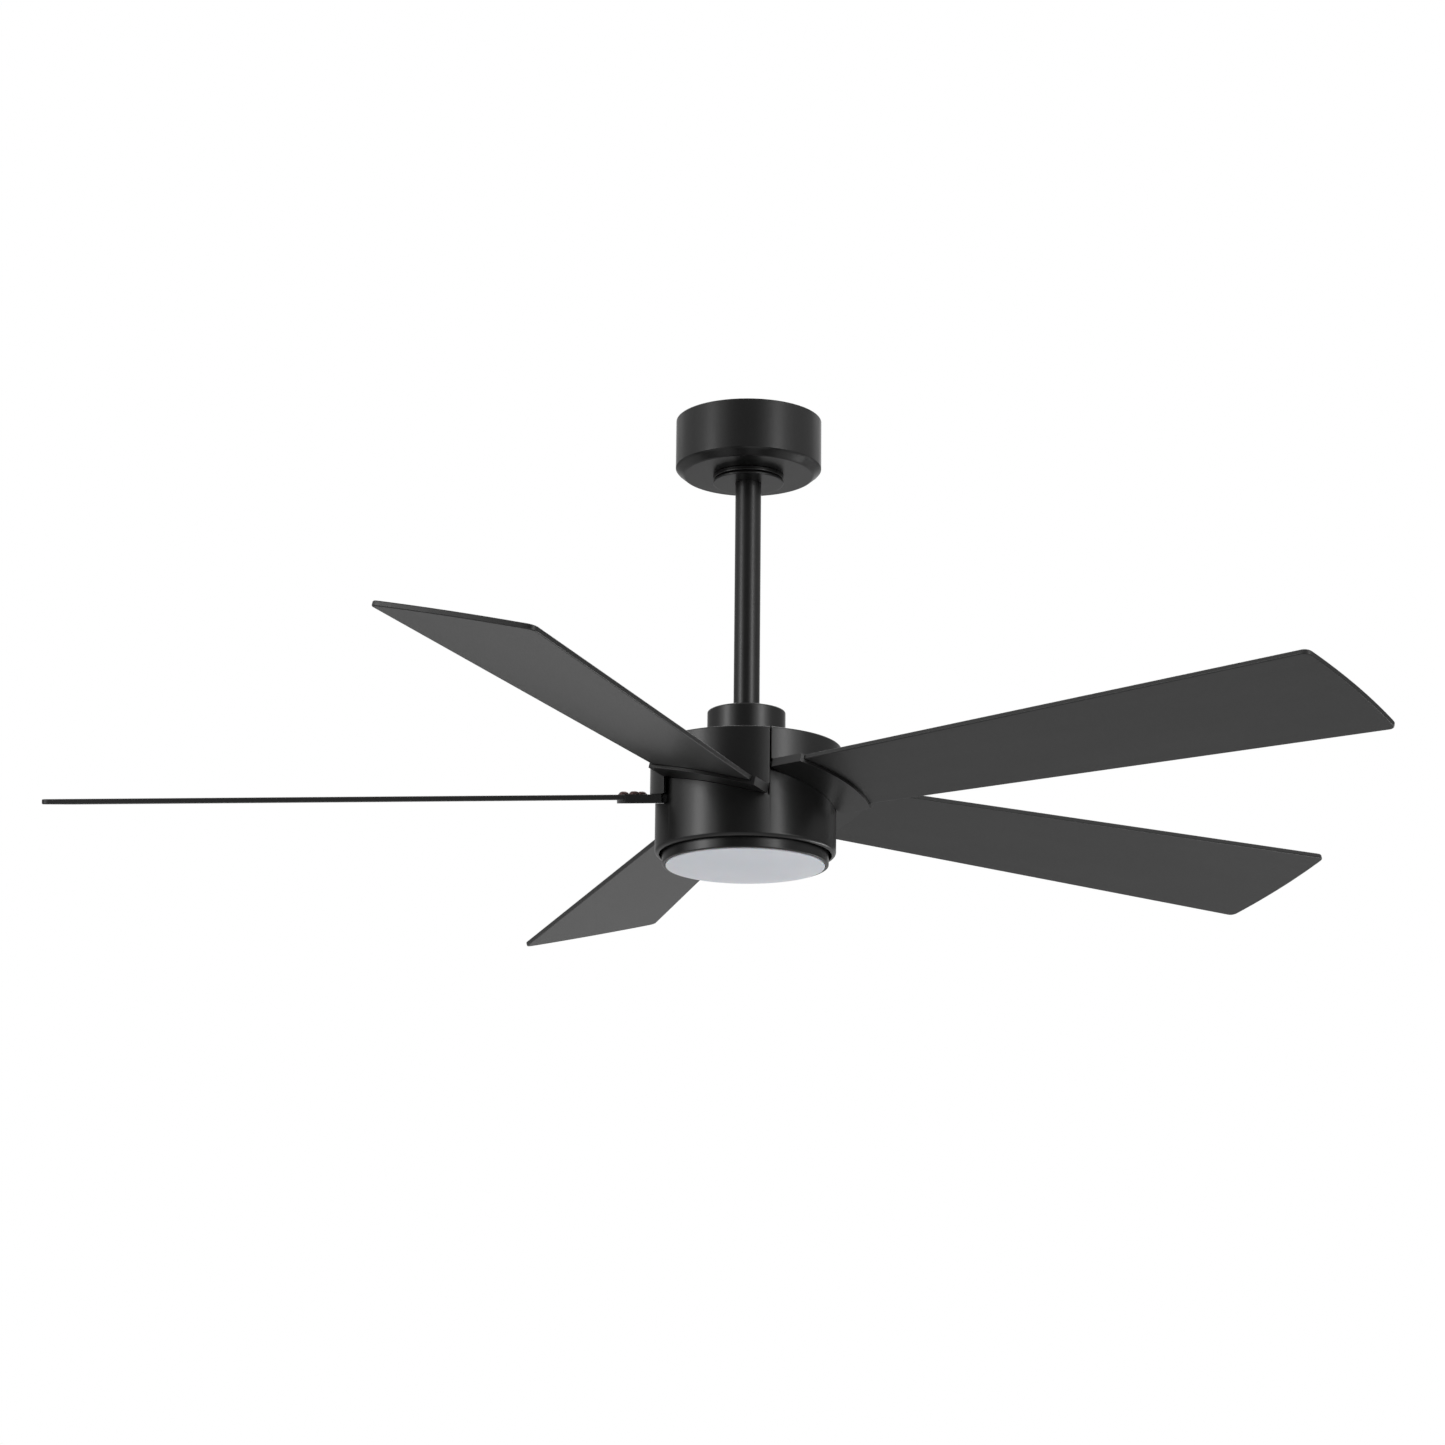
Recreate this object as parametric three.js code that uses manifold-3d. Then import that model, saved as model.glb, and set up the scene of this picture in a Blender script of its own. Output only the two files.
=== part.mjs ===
// Five-blade ceiling fan with a flush light, hung from a ceiling bracket on a downrod.
// Millimetres, +Z up. The origin is on the ceiling plane, on the axis of the fan.

import * as THREE from 'three';
import { mergeVertices } from 'three/addons/utils/BufferGeometryUtils.js';
import Module from 'manifold-3d';

const wasm = await Module();
wasm.setup();

// ---------------------------------------------------------------- driving dimensions

const GAP = 0.3; // between pieces that touch
const BLADES = 5;
const FIRST_BLADE = 32; // degrees, direction of blade 1 seen from above
const SECTOR = 360 / BLADES;
const PITCH = 13.5; // degrees, the counter-clockwise edge of a blade is the low one

const SWEEP_RADIUS = 711.2; // 56 inch fan
const ROD_LENGTH = 304.8; // 12 inch downrod
const ROD_RADIUS = 13.35; // 3/4 inch pipe
const ROD_WALL = 2;
const ROD_TOP = -33;
const ROD_BOTTOM = ROD_TOP - ROD_LENGTH;

const CANOPY_RADIUS = 75.6;
const CANOPY_BOTTOM = -60;
const COVER_RADIUS = 36.5;
const COVER_BOTTOM = -64.4;
const TRIM_TOP = -65.7;
const TRIM_BOTTOM = -68.4;

const BALL_CENTRE = -42;
const BALL_RADIUS = 24;
const PIN_RADIUS = 3;
const YOKE_PIN_Z = -326;

const COLLAR_RADIUS = 40;
const COLLAR_TOP = -314;
const HOUSING_TOP = -353;
const COLLAR_BOTTOM = HOUSING_TOP + 0.8;

const UPPER_RADIUS = 97.5;
const UPPER_WALL = 3;
const LOWER_RADIUS = 92;
const LOWER_WALL = 2.5;
const LOWER_BOTTOM = -464;
const SLOT_ANGLE = 0.9; // degrees, slot between neighbouring sectors of the housing
const SLOT_BOTTOM = -422; // level with the lower housing's top beside a blade's low edge
const SLOT_FLOOR_RADIUS = 87;
const RIB_INNER_RADIUS = 84.5;

const BLADE_PLANE = -405; // height of a blade's underside on the axis
const BLADE_THICKNESS = 5.2;
const ROOT_HALF_WIDTH = 54.4;
const ROOT_ARC_RADIUS = 99.5;
const FLARE_START = 122;
const TIP_HIGH_EDGE = -68;
const TIP_LOW_EDGE = 93;
const TIP_FILLET = 10;

const TRAY_RADIUS = 131;
const TRAY_HALF_WIDTH = 58.2;
const TRAY_FLOOR = 3.3;
const TRAY_INNER_X = 81;
const NECK_HALF_WIDTH = 40;
const NECK_RADIUS = 80;
const BLADE_SCREWS = [[124.5, 0], [110, -40], [110, 40]];

const SHAFT_RADIUS = 9;
const SHAFT_BORE = 5.6;
const SHAFT_TOP = -343.5;
const SHAFT_BOTTOM = -452;
const MOTOR_RADIUS = 60;
const MOTOR_TOP = -355.8;
const MOTOR_SPLIT = -396;
const MOTOR_BOTTOM = -418.5;
const CASE_WALL = 2.2;
const FLANGE_RADIUS = 79;
const FLANGE_TOP = -415;
const BEARING_RADIUS = 16.5;

const PLATE_TOP = -446;
const PLATE_BOTTOM = -448.5;
const RING_RADIUS = 84.6;
const RING_BOTTOM = -474.5;
const DIFFUSER_RADIUS = 81.2;
const DOME_BOTTOM = -483;
const LUG_COUNT = 3;
const LUG_HALF_ANGLE = 7; // degrees
const LIGHT_SCREW_RADIUS = 74;

const SIDES_LARGE = 36;
const SIDES_MEDIUM = 24;
const SIDES_SMALL = 16;
const SIDES_TINY = 8;

// ---------------------------------------------------------------- materials

function finish(color, roughness, metalness) {
  return () => new THREE.MeshStandardMaterial({ color, roughness, metalness });
}

const blackMetal = finish(0x1b1b1c, 0.45, 0.3);
const blackBlade = finish(0x2c2c2d, 0.6, 0);
const brownScrew = finish(0x3a2422, 0.4, 0.4);
const zincSteel = finish(0xa9acad, 0.4, 0.9);
const castAluminium = finish(0x8f9294, 0.5, 0.9);
const siliconSteel = finish(0x5c5f63, 0.5, 0.8);
const copper = finish(0xa65a2c, 0.45, 0.9);
const ferrite = finish(0x2f3032, 0.7, 0.1);
const blackPlastic = finish(0x232325, 0.6, 0);
const circuitWhite = finish(0xe6e8ea, 0.5, 0);
const frostedWhite = finish(0xe3e6ec, 0.35, 0);
const leadGrey = finish(0x3b3b3d, 0.7, 0);
const nylon = finish(0x2a2a2c, 0.5, 0);

// ---------------------------------------------------------------- solids

function radians(degrees) {
  return THREE.MathUtils.degToRad(degrees);
}

// A closed manifold solid from any closed three.js geometry, with its faces pointing out.
function solidOf(geometry) {
  const bare = geometry.clone();
  bare.deleteAttribute('normal');
  bare.deleteAttribute('uv');
  const merged = mergeVertices(bare, 1e-3);
  const points = merged.getAttribute('position').array;
  const corner = (i) => new THREE.Vector3().fromArray(points, 3 * i);
  const triangles = [];
  let volume = 0;
  for (let i = 0; i < merged.index.count; i += 3) {
    const [a, b, c] = [0, 1, 2].map((k) => merged.index.getX(i + k));
    if (a !== b && b !== c && c !== a) {
      triangles.push(a, b, c);
      volume += corner(a).dot(corner(b).cross(corner(c)));
    }
  }
  if (volume < 0) triangles.reverse();
  const mesh = new wasm.Mesh({
    numProp: 3,
    vertProperties: new Float32Array(points),
    triVerts: new Uint32Array(triangles),
  });
  return new wasm.Manifold(mesh);
}

function geometryOf(solid) {
  const mesh = solid.getMesh();
  const geometry = new THREE.BufferGeometry();
  geometry.setAttribute('position', new THREE.BufferAttribute(mesh.vertProperties, 3));
  geometry.setIndex(new THREE.BufferAttribute(mesh.triVerts, 1));
  geometry.computeVertexNormals();
  return geometry;
}

// A solid of revolution about the Z axis from [radius, height] corners.
function turned(profile, sides) {
  const closed = [...profile];
  const touchesAxis = profile.some(([radius]) => radius === 0);
  if (!touchesAxis) closed.push(profile[0]);
  const points = closed.map(([radius, height]) => new THREE.Vector2(radius, height));
  const geometry = new THREE.LatheGeometry(points, sides);
  geometry.rotateX(Math.PI / 2);
  return solidOf(geometry);
}

function tube(inner, outer, bottom, top, sides) {
  return turned([[inner, bottom], [outer, bottom], [outer, top], [inner, top]], sides);
}

function rod(radius, bottom, top, sides) {
  return turned([[0, bottom], [radius, bottom], [radius, top], [0, top]], sides);
}

function block([x0, x1], [y0, y1], [z0, z1]) {
  const geometry = new THREE.BoxGeometry(x1 - x0, y1 - y0, z1 - z0);
  geometry.translate((x0 + x1) / 2, (y0 + y1) / 2, (z0 + z1) / 2);
  return solidOf(geometry);
}

function prism(shape, bottom, top) {
  const options = { depth: top - bottom, bevelEnabled: false, curveSegments: 5 };
  const geometry = new THREE.ExtrudeGeometry(shape, options);
  geometry.translate(0, 0, bottom);
  return solidOf(geometry);
}

function moved(solid, x, y, z) {
  return solid.translate([x, y, z]);
}

// The same solid with its Z axis laid along X or along Y.
function alongX(solid) {
  return solid.rotate([0, 90, 0]);
}

function alongY(solid) {
  return solid.rotate([-90, 0, 0]);
}

function spun(solid, degrees) {
  return solid.rotate([0, 0, degrees]);
}

function union(solids) {
  return solids.reduce((whole, solid) => whole.add(solid));
}

function without(solid, cutters) {
  return cutters.reduce((left, cutter) => left.subtract(cutter), solid);
}

// Profile points on an arc, angles in degrees from the +radius direction.
function arc(centre, radius, from, to, steps) {
  return Array.from({ length: steps + 1 }, (_, i) => {
    const angle = radians(from + ((to - from) * i) / steps);
    return [centre[0] + radius * Math.cos(angle), centre[1] + radius * Math.sin(angle)];
  });
}

// ---------------------------------------------------------------- the assembly

const fan = new THREE.Group();
fan.name = 'ceiling_fan';

function addPiece(name, solid, material, parent = fan) {
  const mesh = new THREE.Mesh(geometryOf(solid), material());
  mesh.name = name;
  parent.add(mesh);
}

// ---------------------------------------------------------------- ceiling bracket

const SHEET = 2.5;
const BRACKET_HALF_LENGTH = 59;
const BRACKET_HALF_DEPTH = 27;
const LEG_OUTER = 36;
const SEAT_TOP = -50.5;
const FOOT_BOTTOM = -58.4;
const CANOPY_SCREW_X = 29;

function ballSeatCutter() {
  const radius = BALL_RADIUS + 0.5;
  const surface = arc([0, BALL_CENTRE], radius, -75, 75, 8);
  return turned([[0, BALL_CENTRE - radius], ...surface, [0, BALL_CENTRE + radius]], SIDES_SMALL);
}

// A folded sheet steel bracket: a top plate, two legs, and a seat that is open at the back for the rod.
function makeHangerBracket() {
  const depth = [-BRACKET_HALF_DEPTH, BRACKET_HALF_DEPTH];
  const plate = block([-BRACKET_HALF_LENGTH, BRACKET_HALF_LENGTH], depth, [-SHEET, 0]);
  const seat = block([-LEG_OUTER, LEG_OUTER], depth, [SEAT_TOP - SHEET, SEAT_TOP]);
  const rodEntry = block([-14.5, 14.5], [0, 40], [SEAT_TOP - SHEET - 1, SEAT_TOP + 0.5]);
  const pieces = [plate, seat];
  const cutters = [ballSeatCutter(), rodEntry];
  for (const side of [-1, 1]) {
    const ordered = (a, b) => [side * a, side * b].sort((low, high) => low - high);
    const screwHole = rod(2.2, FOOT_BOTTOM - 3.6, SEAT_TOP - 3.5, SIDES_TINY);
    pieces.push(block(ordered(LEG_OUTER - SHEET, LEG_OUTER), depth, [FOOT_BOTTOM + 1, -1]));
    pieces.push(block(ordered(24, LEG_OUTER), [-8, 8], [FOOT_BOTTOM, FOOT_BOTTOM + 2.4]));
    cutters.push(moved(screwHole, side * CANOPY_SCREW_X, 0, 0));
    cutters.push(block(ordered(37.5, 51.5), [-2.8, 2.8], [-SHEET - 1.5, 1]));
  }
  const tab = block([-1.5, 1.5], [-26, -20.5], [SEAT_TOP - 1.5, SEAT_TOP + 4.5]);
  return without(union(pieces), cutters).add(tab);
}

function makeReceiver() {
  const halfLength = 50;
  const bottom = -27;
  const body = block([-24, 24], [-halfLength, halfLength], [bottom, -5]);
  const ears = block([-10, 10], [-halfLength - 6, halfLength + 6], [bottom, bottom + 2]);
  return body.add(ears);
}

// ---------------------------------------------------------------- canopy and its trims

function makeCanopy() {
  const top = -1;
  const wall = 1.5;
  const hole = 20;
  const floorTop = CANOPY_BOTTOM + 1.2;
  const chamferTop = CANOPY_BOTTOM + 7.5;
  const shell = turned([
    [CANOPY_RADIUS, top], [CANOPY_RADIUS, chamferTop], [CANOPY_RADIUS - 1.4, chamferTop - 1.7],
    [CANOPY_RADIUS - 7.6, CANOPY_BOTTOM + 0.6], [CANOPY_RADIUS - 9.1, CANOPY_BOTTOM],
    [hole, CANOPY_BOTTOM], [hole, floorTop], [CANOPY_RADIUS - 9.6, floorTop],
    [CANOPY_RADIUS - wall, chamferTop + 0.2], [CANOPY_RADIUS - wall, top],
  ], SIDES_LARGE);
  const screwHole = rod(2.4, CANOPY_BOTTOM - 4, CANOPY_BOTTOM + 4, SIDES_TINY);
  return without(shell, [-1, 1].map((side) => moved(screwHole, side * CANOPY_SCREW_X, 0, 0)));
}

function makeCanopyScrew() {
  const headTop = CANOPY_BOTTOM - GAP;
  const headBottom = headTop - 1.9;
  const tip = headTop + 5.9;
  return turned([
    [0, headBottom], [2.6, headBottom], [3.8, headBottom + 1], [3.8, headTop],
    [1.9, headTop], [1.9, tip], [0, tip],
  ], SIDES_TINY);
}

function makeCanopyCover() {
  const top = CANOPY_BOTTOM - GAP;
  const hole = 16;
  const inner = COVER_RADIUS - 1.5;
  const floorTop = COVER_BOTTOM + 1.2;
  return turned([
    [COVER_RADIUS, top], [COVER_RADIUS, COVER_BOTTOM + 0.8], [COVER_RADIUS - 0.8, COVER_BOTTOM],
    [hole, COVER_BOTTOM], [hole, floorTop], [inner, floorTop], [inner, top],
  ], SIDES_MEDIUM);
}

function makeTrimRing() {
  const hole = ROD_RADIUS + GAP;
  return turned([
    [hole, TRIM_TOP], [COVER_RADIUS, TRIM_TOP], [COVER_RADIUS, TRIM_BOTTOM + 0.8],
    [COVER_RADIUS - 0.8, TRIM_BOTTOM], [hole, TRIM_BOTTOM],
  ], SIDES_MEDIUM);
}

// ---------------------------------------------------------------- hanger ball and downrod

function makeBall() {
  const bore = ROD_RADIUS + 0.85;
  const surface = arc([0, BALL_CENTRE], BALL_RADIUS, -35.7, 19.5, 5);
  const highest = surface[surface.length - 1][1];
  const lowest = surface[0][1];
  const body = turned([[bore, lowest], ...surface, [bore, highest]], SIDES_SMALL);
  const pinHole = moved(alongX(rod(PIN_RADIUS + GAP, -30, 30, SIDES_TINY)), 0, 0, BALL_CENTRE);
  const keySlot = block([-2.5, 2.5], [-30, -19.5], [-60, BALL_CENTRE]);
  return without(body, [pinHole, keySlot]);
}

function makeBallPin() {
  return moved(alongX(rod(PIN_RADIUS, -22, 22, SIDES_TINY)), 0, 0, BALL_CENTRE);
}

function makeDownrod() {
  const pipe = tube(ROD_RADIUS - ROD_WALL, ROD_RADIUS, ROD_BOTTOM, ROD_TOP, SIDES_SMALL);
  const pinHole = alongX(rod(PIN_RADIUS + GAP, -20, 20, SIDES_TINY));
  return without(pipe, [BALL_CENTRE, YOKE_PIN_Z].map((z) => moved(pinHole, 0, 0, z)));
}

// The motor and light leads, one bundle down the downrod, beside the pins, and down the hollow shaft.
function makeLeads() {
  const side = 6.9;
  const route = new THREE.CatmullRomCurve3([
    new THREE.Vector3(0, side, -29.2),
    new THREE.Vector3(0, side, -120),
    new THREE.Vector3(0, side, -230),
    new THREE.Vector3(0, side, -300),
    new THREE.Vector3(0, side, -327),
    new THREE.Vector3(0, 1.9, -343),
    new THREE.Vector3(0, 0, -360),
    new THREE.Vector3(0, 0, -410),
    new THREE.Vector3(0, 0, SHAFT_BOTTOM + 2),
  ], false, 'centripetal');
  const section = new THREE.Shape();
  section.absarc(0, 0, 2.3, 0, 2 * Math.PI);
  const options = { steps: 30, extrudePath: route, curveSegments: 4, bevelEnabled: false };
  return solidOf(new THREE.ExtrudeGeometry(section, options));
}

// ---------------------------------------------------------------- yoke, pin and coupling cover

const YOKE_RADIUS = 20;
const YOKE_TOP = -317;
const YOKE_BOTTOM = -351.5;
const YOKE_FLANGE = 2.2;
const YOKE_SCREW_Z = YOKE_PIN_Z - 7;
const HAIRPIN_X = 23;

function makeYoke() {
  const rodBore = ROD_RADIUS + GAP;
  const shaftBore = SHAFT_RADIUS + GAP;
  const shoulder = SHAFT_TOP + 0.5;
  const flangeTop = YOKE_BOTTOM + YOKE_FLANGE;
  const body = turned([
    [rodBore, YOKE_TOP], [YOKE_RADIUS, YOKE_TOP], [YOKE_RADIUS, flangeTop], [37.5, flangeTop],
    [37.5, YOKE_BOTTOM], [shaftBore, YOKE_BOTTOM], [shaftBore, shoulder], [rodBore, shoulder],
  ], SIDES_SMALL);
  const pinHole = moved(alongX(rod(PIN_RADIUS + GAP, -30, 30, SIDES_TINY)), 0, 0, YOKE_PIN_Z);
  const screwHole = moved(alongY(rod(2.7, -30, 30, SIDES_TINY)), 0, 0, YOKE_SCREW_Z);
  return without(body, [pinHole, screwHole]);
}

function makeClevisPin() {
  const headEnd = -23.6;
  const headFace = headEnd + 3;
  const end = HAIRPIN_X + 3;
  const pin = turned([
    [0, headEnd], [5, headEnd], [5, headFace], [PIN_RADIUS, headFace], [PIN_RADIUS, end], [0, end],
  ], SIDES_TINY);
  const clipHole = moved(alongY(rod(1.2, -6, 6, SIDES_TINY)), 0, 0, HAIRPIN_X);
  return moved(alongX(without(pin, [clipHole])), 0, 0, YOKE_PIN_Z);
}

function makeHairpin() {
  const route = new THREE.CatmullRomCurve3([
    new THREE.Vector3(0, -7, 0),
    new THREE.Vector3(0, 0, 0),
    new THREE.Vector3(0, 7, 0),
    new THREE.Vector3(0, 9.5, 2.4),
    new THREE.Vector3(0, 7, 4.8),
    new THREE.Vector3(0, 0, 4.6),
    new THREE.Vector3(0, -6, 5.2),
  ]);
  const section = new THREE.Shape();
  section.absarc(0, 0, 0.8, 0, 2 * Math.PI);
  const options = { steps: 18, extrudePath: route, curveSegments: 3, bevelEnabled: false };
  return moved(solidOf(new THREE.ExtrudeGeometry(section, options)), HAIRPIN_X, 0, YOKE_PIN_Z);
}

function makeYokeScrew(side) {
  const screw = alongY(rod(2.4, ROD_RADIUS + GAP, YOKE_RADIUS + 2, 10));
  return moved(side > 0 ? screw : spun(screw, 180), 0, 0, YOKE_SCREW_Z);
}

function makeCouplingCover() {
  const wall = 1.4;
  const hole = ROD_RADIUS + 0.5;
  return turned([
    [hole, COLLAR_TOP], [COLLAR_RADIUS - 1.5, COLLAR_TOP], [COLLAR_RADIUS - 0.4, COLLAR_TOP - 0.5],
    [COLLAR_RADIUS, COLLAR_TOP - 1.6], [COLLAR_RADIUS, COLLAR_BOTTOM], [COLLAR_RADIUS - wall, COLLAR_BOTTOM],
    [COLLAR_RADIUS - wall, COLLAR_TOP - wall], [hole, COLLAR_TOP - wall],
  ], SIDES_MEDIUM);
}

// ---------------------------------------------------------------- motor

function makeRotorTopCase() {
  const hole = 11;
  const seat = BEARING_RADIUS + GAP;
  const seatEnd = MOTOR_TOP - 10;
  const seatFloor = MOTOR_TOP - 1.7;
  const inside = MOTOR_TOP - CASE_WALL;
  return turned([
    [hole, MOTOR_TOP], [MOTOR_RADIUS - 4, MOTOR_TOP], [MOTOR_RADIUS, MOTOR_TOP - 4],
    [MOTOR_RADIUS, MOTOR_SPLIT], [MOTOR_RADIUS - CASE_WALL, MOTOR_SPLIT],
    [MOTOR_RADIUS - CASE_WALL, MOTOR_TOP - 4.8], [MOTOR_RADIUS - 4.8, inside],
    [seat + 2.5, inside], [seat + 2.5, seatEnd], [seat, seatEnd], [seat, seatFloor], [hole, seatFloor],
  ], SIDES_MEDIUM);
}

// The lower half carries the flange that the blade brackets are screwed to.
function makeRotorBottomCase() {
  const hole = 11;
  const seat = BEARING_RADIUS + GAP;
  const seatEnd = MOTOR_BOTTOM + 10;
  const seatFloor = MOTOR_BOTTOM + 1.7;
  const inside = MOTOR_BOTTOM + CASE_WALL;
  const rim = MOTOR_SPLIT - GAP;
  return turned([
    [MOTOR_RADIUS, rim], [MOTOR_RADIUS, FLANGE_TOP], [FLANGE_RADIUS, FLANGE_TOP],
    [FLANGE_RADIUS, MOTOR_BOTTOM], [hole, MOTOR_BOTTOM], [hole, seatFloor], [seat, seatFloor],
    [seat, seatEnd], [seat + 2.5, seatEnd], [seat + 2.5, inside],
    [MOTOR_RADIUS - CASE_WALL, inside], [MOTOR_RADIUS - CASE_WALL, rim],
  ], SIDES_MEDIUM);
}

function makeBearing(bottom) {
  return tube(SHAFT_RADIUS + GAP, BEARING_RADIUS, bottom, bottom + 7, SIDES_SMALL);
}

const CORE_TOP = -376;
const CORE_BOTTOM = -400;

function makeStatorCore() {
  const poles = 12;
  const hub = 23;
  const shoe = 47;
  const face = 50;
  const poleCorners = [[hub, -0.14], [shoe, -0.07], [face, -0.2], [face, 0.2], [shoe, 0.07], [hub, 0.14]];
  const corners = [];
  for (let i = 0; i < poles; i += 1) {
    const centre = (i * 2 * Math.PI) / poles;
    for (const [radius, turn] of poleCorners) {
      corners.push(new THREE.Vector2(radius * Math.cos(centre + turn), radius * Math.sin(centre + turn)));
    }
  }
  const stack = prism(new THREE.Shape(corners), CORE_BOTTOM, CORE_TOP);
  return without(stack, [rod(SHAFT_RADIUS + GAP, CORE_BOTTOM - 10, CORE_TOP + 6, SIDES_SMALL)]);
}

// The coils above the core, as one ring.
function makeStatorWinding() {
  const bottom = CORE_TOP + GAP;
  const top = bottom + 8.2;
  const shoulder = bottom + 3.7;
  return turned([
    [26, bottom], [44, bottom], [45, shoulder], [41, top], [29, top], [25, shoulder],
  ], SIDES_MEDIUM);
}

function makeMagnetRing() {
  return tube(51.5, MOTOR_RADIUS - CASE_WALL - GAP, CORE_BOTTOM - 3, CORE_TOP + 4, SIDES_MEDIUM);
}

// ---------------------------------------------------------------- rotating housing

// The placement of a blade's own frame: x out along the blade, z up from its underside.
function bladeFrame(index) {
  const frame = new THREE.Matrix4().makeRotationZ(radians(FIRST_BLADE + index * SECTOR));
  frame.multiply(new THREE.Matrix4().makeTranslation(0, 0, BLADE_PLANE));
  frame.multiply(new THREE.Matrix4().makeRotationX(radians(-PITCH)));
  return frame;
}

// The part of one blade's sector that lies between two heights in the blade's own frame.
function sectorSlab(index, bottom, top) {
  const slab = block([40, 140], [-110, 110], [bottom, top]).transform(bladeFrame(index).elements);
  const reach = 200;
  const half = radians(SECTOR / 2);
  const wedge = new THREE.Shape([
    new THREE.Vector2(0, 0),
    new THREE.Vector2(reach * Math.cos(half), -reach * Math.sin(half)),
    new THREE.Vector2(reach * Math.cos(half), reach * Math.sin(half)),
  ]);
  return slab.intersect(spun(prism(wedge, -520, -320), FIRST_BLADE + index * SECTOR));
}

// A radial bar at the boundary on the high side of a blade's sector.
function boundaryBar(index, [innerRadius, outerRadius], halfWidth, [bottom, top]) {
  const bar = block([innerRadius, outerRadius], [-halfWidth, halfWidth], [bottom, top]);
  return spun(bar, FIRST_BLADE + index * SECTOR - SECTOR / 2 + SLOT_ANGLE / 2);
}

const SLOT_HALF_WIDTH = (UPPER_RADIUS * radians(SLOT_ANGLE)) / 2;
const CUTTER_RADIUS = 110;
const CUTTER_TOP = -340;
const CUTTER_BOTTOM = -450;
const bladeIndexes = Array.from({ length: BLADES }, (_, i) => i);

// A wall that steps down around the housing: each sector's lower edge follows its blade.
function makeUpperHousing() {
  const hole = 24;
  const inner = UPPER_RADIUS - UPPER_WALL;
  const plateBottom = HOUSING_TOP - 2.5;
  const wallBottom = -440;
  const shell = turned([
    [hole, HOUSING_TOP], [UPPER_RADIUS - 0.8, HOUSING_TOP], [UPPER_RADIUS, HOUSING_TOP - 0.8],
    [UPPER_RADIUS, wallBottom], [inner, wallBottom], [inner, plateBottom], [hole, plateBottom],
  ], SIDES_LARGE);
  const below = bladeIndexes.map((i) => sectorSlab(i, -80, BLADE_THICKNESS + GAP));
  const slotRadii = [UPPER_RADIUS - 4.5, CUTTER_RADIUS];
  const slots = bladeIndexes.map((i) => (
    boundaryBar(i, slotRadii, SLOT_HALF_WIDTH, [CUTTER_BOTTOM, CUTTER_TOP])));
  return without(shell, [...below, ...slots]);
}

// The drum below the blades, with a flange under the motor and a rib behind each slot.
function makeLowerHousing() {
  const inner = LOWER_RADIUS - LOWER_WALL;
  const lip = LOWER_RADIUS - 4.5;
  const wallTop = -380;
  const flangeHole = 64;
  const flangeTop = MOTOR_BOTTOM - GAP;
  const flangeBottom = flangeTop - 2.5;
  const shell = turned([
    [LOWER_RADIUS, wallTop], ...arc([lip, LOWER_BOTTOM + 4.5], 4.5, 0, -90, 4),
    [lip, LOWER_BOTTOM + 2.2], [inner, LOWER_BOTTOM + 4.5], [inner, flangeBottom],
    [flangeHole, flangeBottom], [flangeHole, flangeTop], [inner, flangeTop], [inner, wallTop],
  ], SIDES_LARGE);
  const above = bladeIndexes.map((i) => sectorSlab(i, -TRAY_FLOOR - 2 * GAP, 90));
  const ribHeights = [-440, HOUSING_TOP - 4];
  const ribs = bladeIndexes.map((i) => boundaryBar(i, [RIB_INNER_RADIUS, 91], 4.5, ribHeights));
  const slots = bladeIndexes.map((i) => (
    boundaryBar(i, [SLOT_FLOOR_RADIUS, CUTTER_RADIUS], SLOT_HALF_WIDTH, [SLOT_BOTTOM, CUTTER_TOP])));
  return without(union([without(shell, above), ...ribs]), slots);
}

// ---------------------------------------------------------------- blades, brackets and screws

// The tray's outline: rounded about the fan's axis outside, and around the motor inside.
function trayShape() {
  const spread = Math.asin(TRAY_HALF_WIDTH / TRAY_RADIUS);
  const neckSpread = Math.asin(NECK_HALF_WIDTH / NECK_RADIUS);
  const shape = new THREE.Shape();
  shape.moveTo(TRAY_INNER_X, -TRAY_HALF_WIDTH);
  shape.lineTo(TRAY_RADIUS * Math.cos(spread), -TRAY_HALF_WIDTH);
  shape.absarc(0, 0, TRAY_RADIUS, -spread, spread);
  shape.lineTo(TRAY_INNER_X, TRAY_HALF_WIDTH);
  shape.lineTo(TRAY_INNER_X, NECK_HALF_WIDTH);
  shape.absarc(0, 0, NECK_RADIUS, neckSpread, -neckSpread, true);
  shape.lineTo(TRAY_INNER_X, -NECK_HALF_WIDTH);
  shape.closePath();
  return shape;
}

// The pocket that a blade's root lies in, open outwards.
function pocketShape() {
  const halfWidth = ROOT_HALF_WIDTH + GAP;
  const radius = ROOT_ARC_RADIUS - 2 * GAP;
  const mouth = TRAY_RADIUS + 5;
  const spread = Math.asin(halfWidth / radius);
  const shape = new THREE.Shape();
  shape.moveTo(mouth, -halfWidth);
  shape.lineTo(mouth, halfWidth);
  shape.lineTo(radius * Math.cos(spread), halfWidth);
  shape.absarc(0, 0, radius, spread, -spread, true);
  shape.closePath();
  return shape;
}

// A tray around the blade's root, with a level foot on the motor's flange.
function makeBracket() {
  const tray = prism(trayShape(), -TRAY_FLOOR - GAP, BLADE_THICKNESS);
  const pocket = prism(pocketShape(), -GAP, BLADE_THICKNESS + 5);
  const screwHoles = BLADE_SCREWS.map(([x, y]) => moved(rod(2.6, -2.8, 1, SIDES_TINY), x, y, 0));
  const foot = block([63, 84], [-18, 18], [FLANGE_TOP + GAP, FLANGE_TOP + 12]);
  const unpitched = new THREE.Matrix4().makeRotationX(radians(PITCH));
  unpitched.multiply(new THREE.Matrix4().makeTranslation(0, 0, -BLADE_PLANE));
  return without(tray, [pocket, ...screwHoles]).add(foot.transform(unpitched.elements));
}

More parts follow.
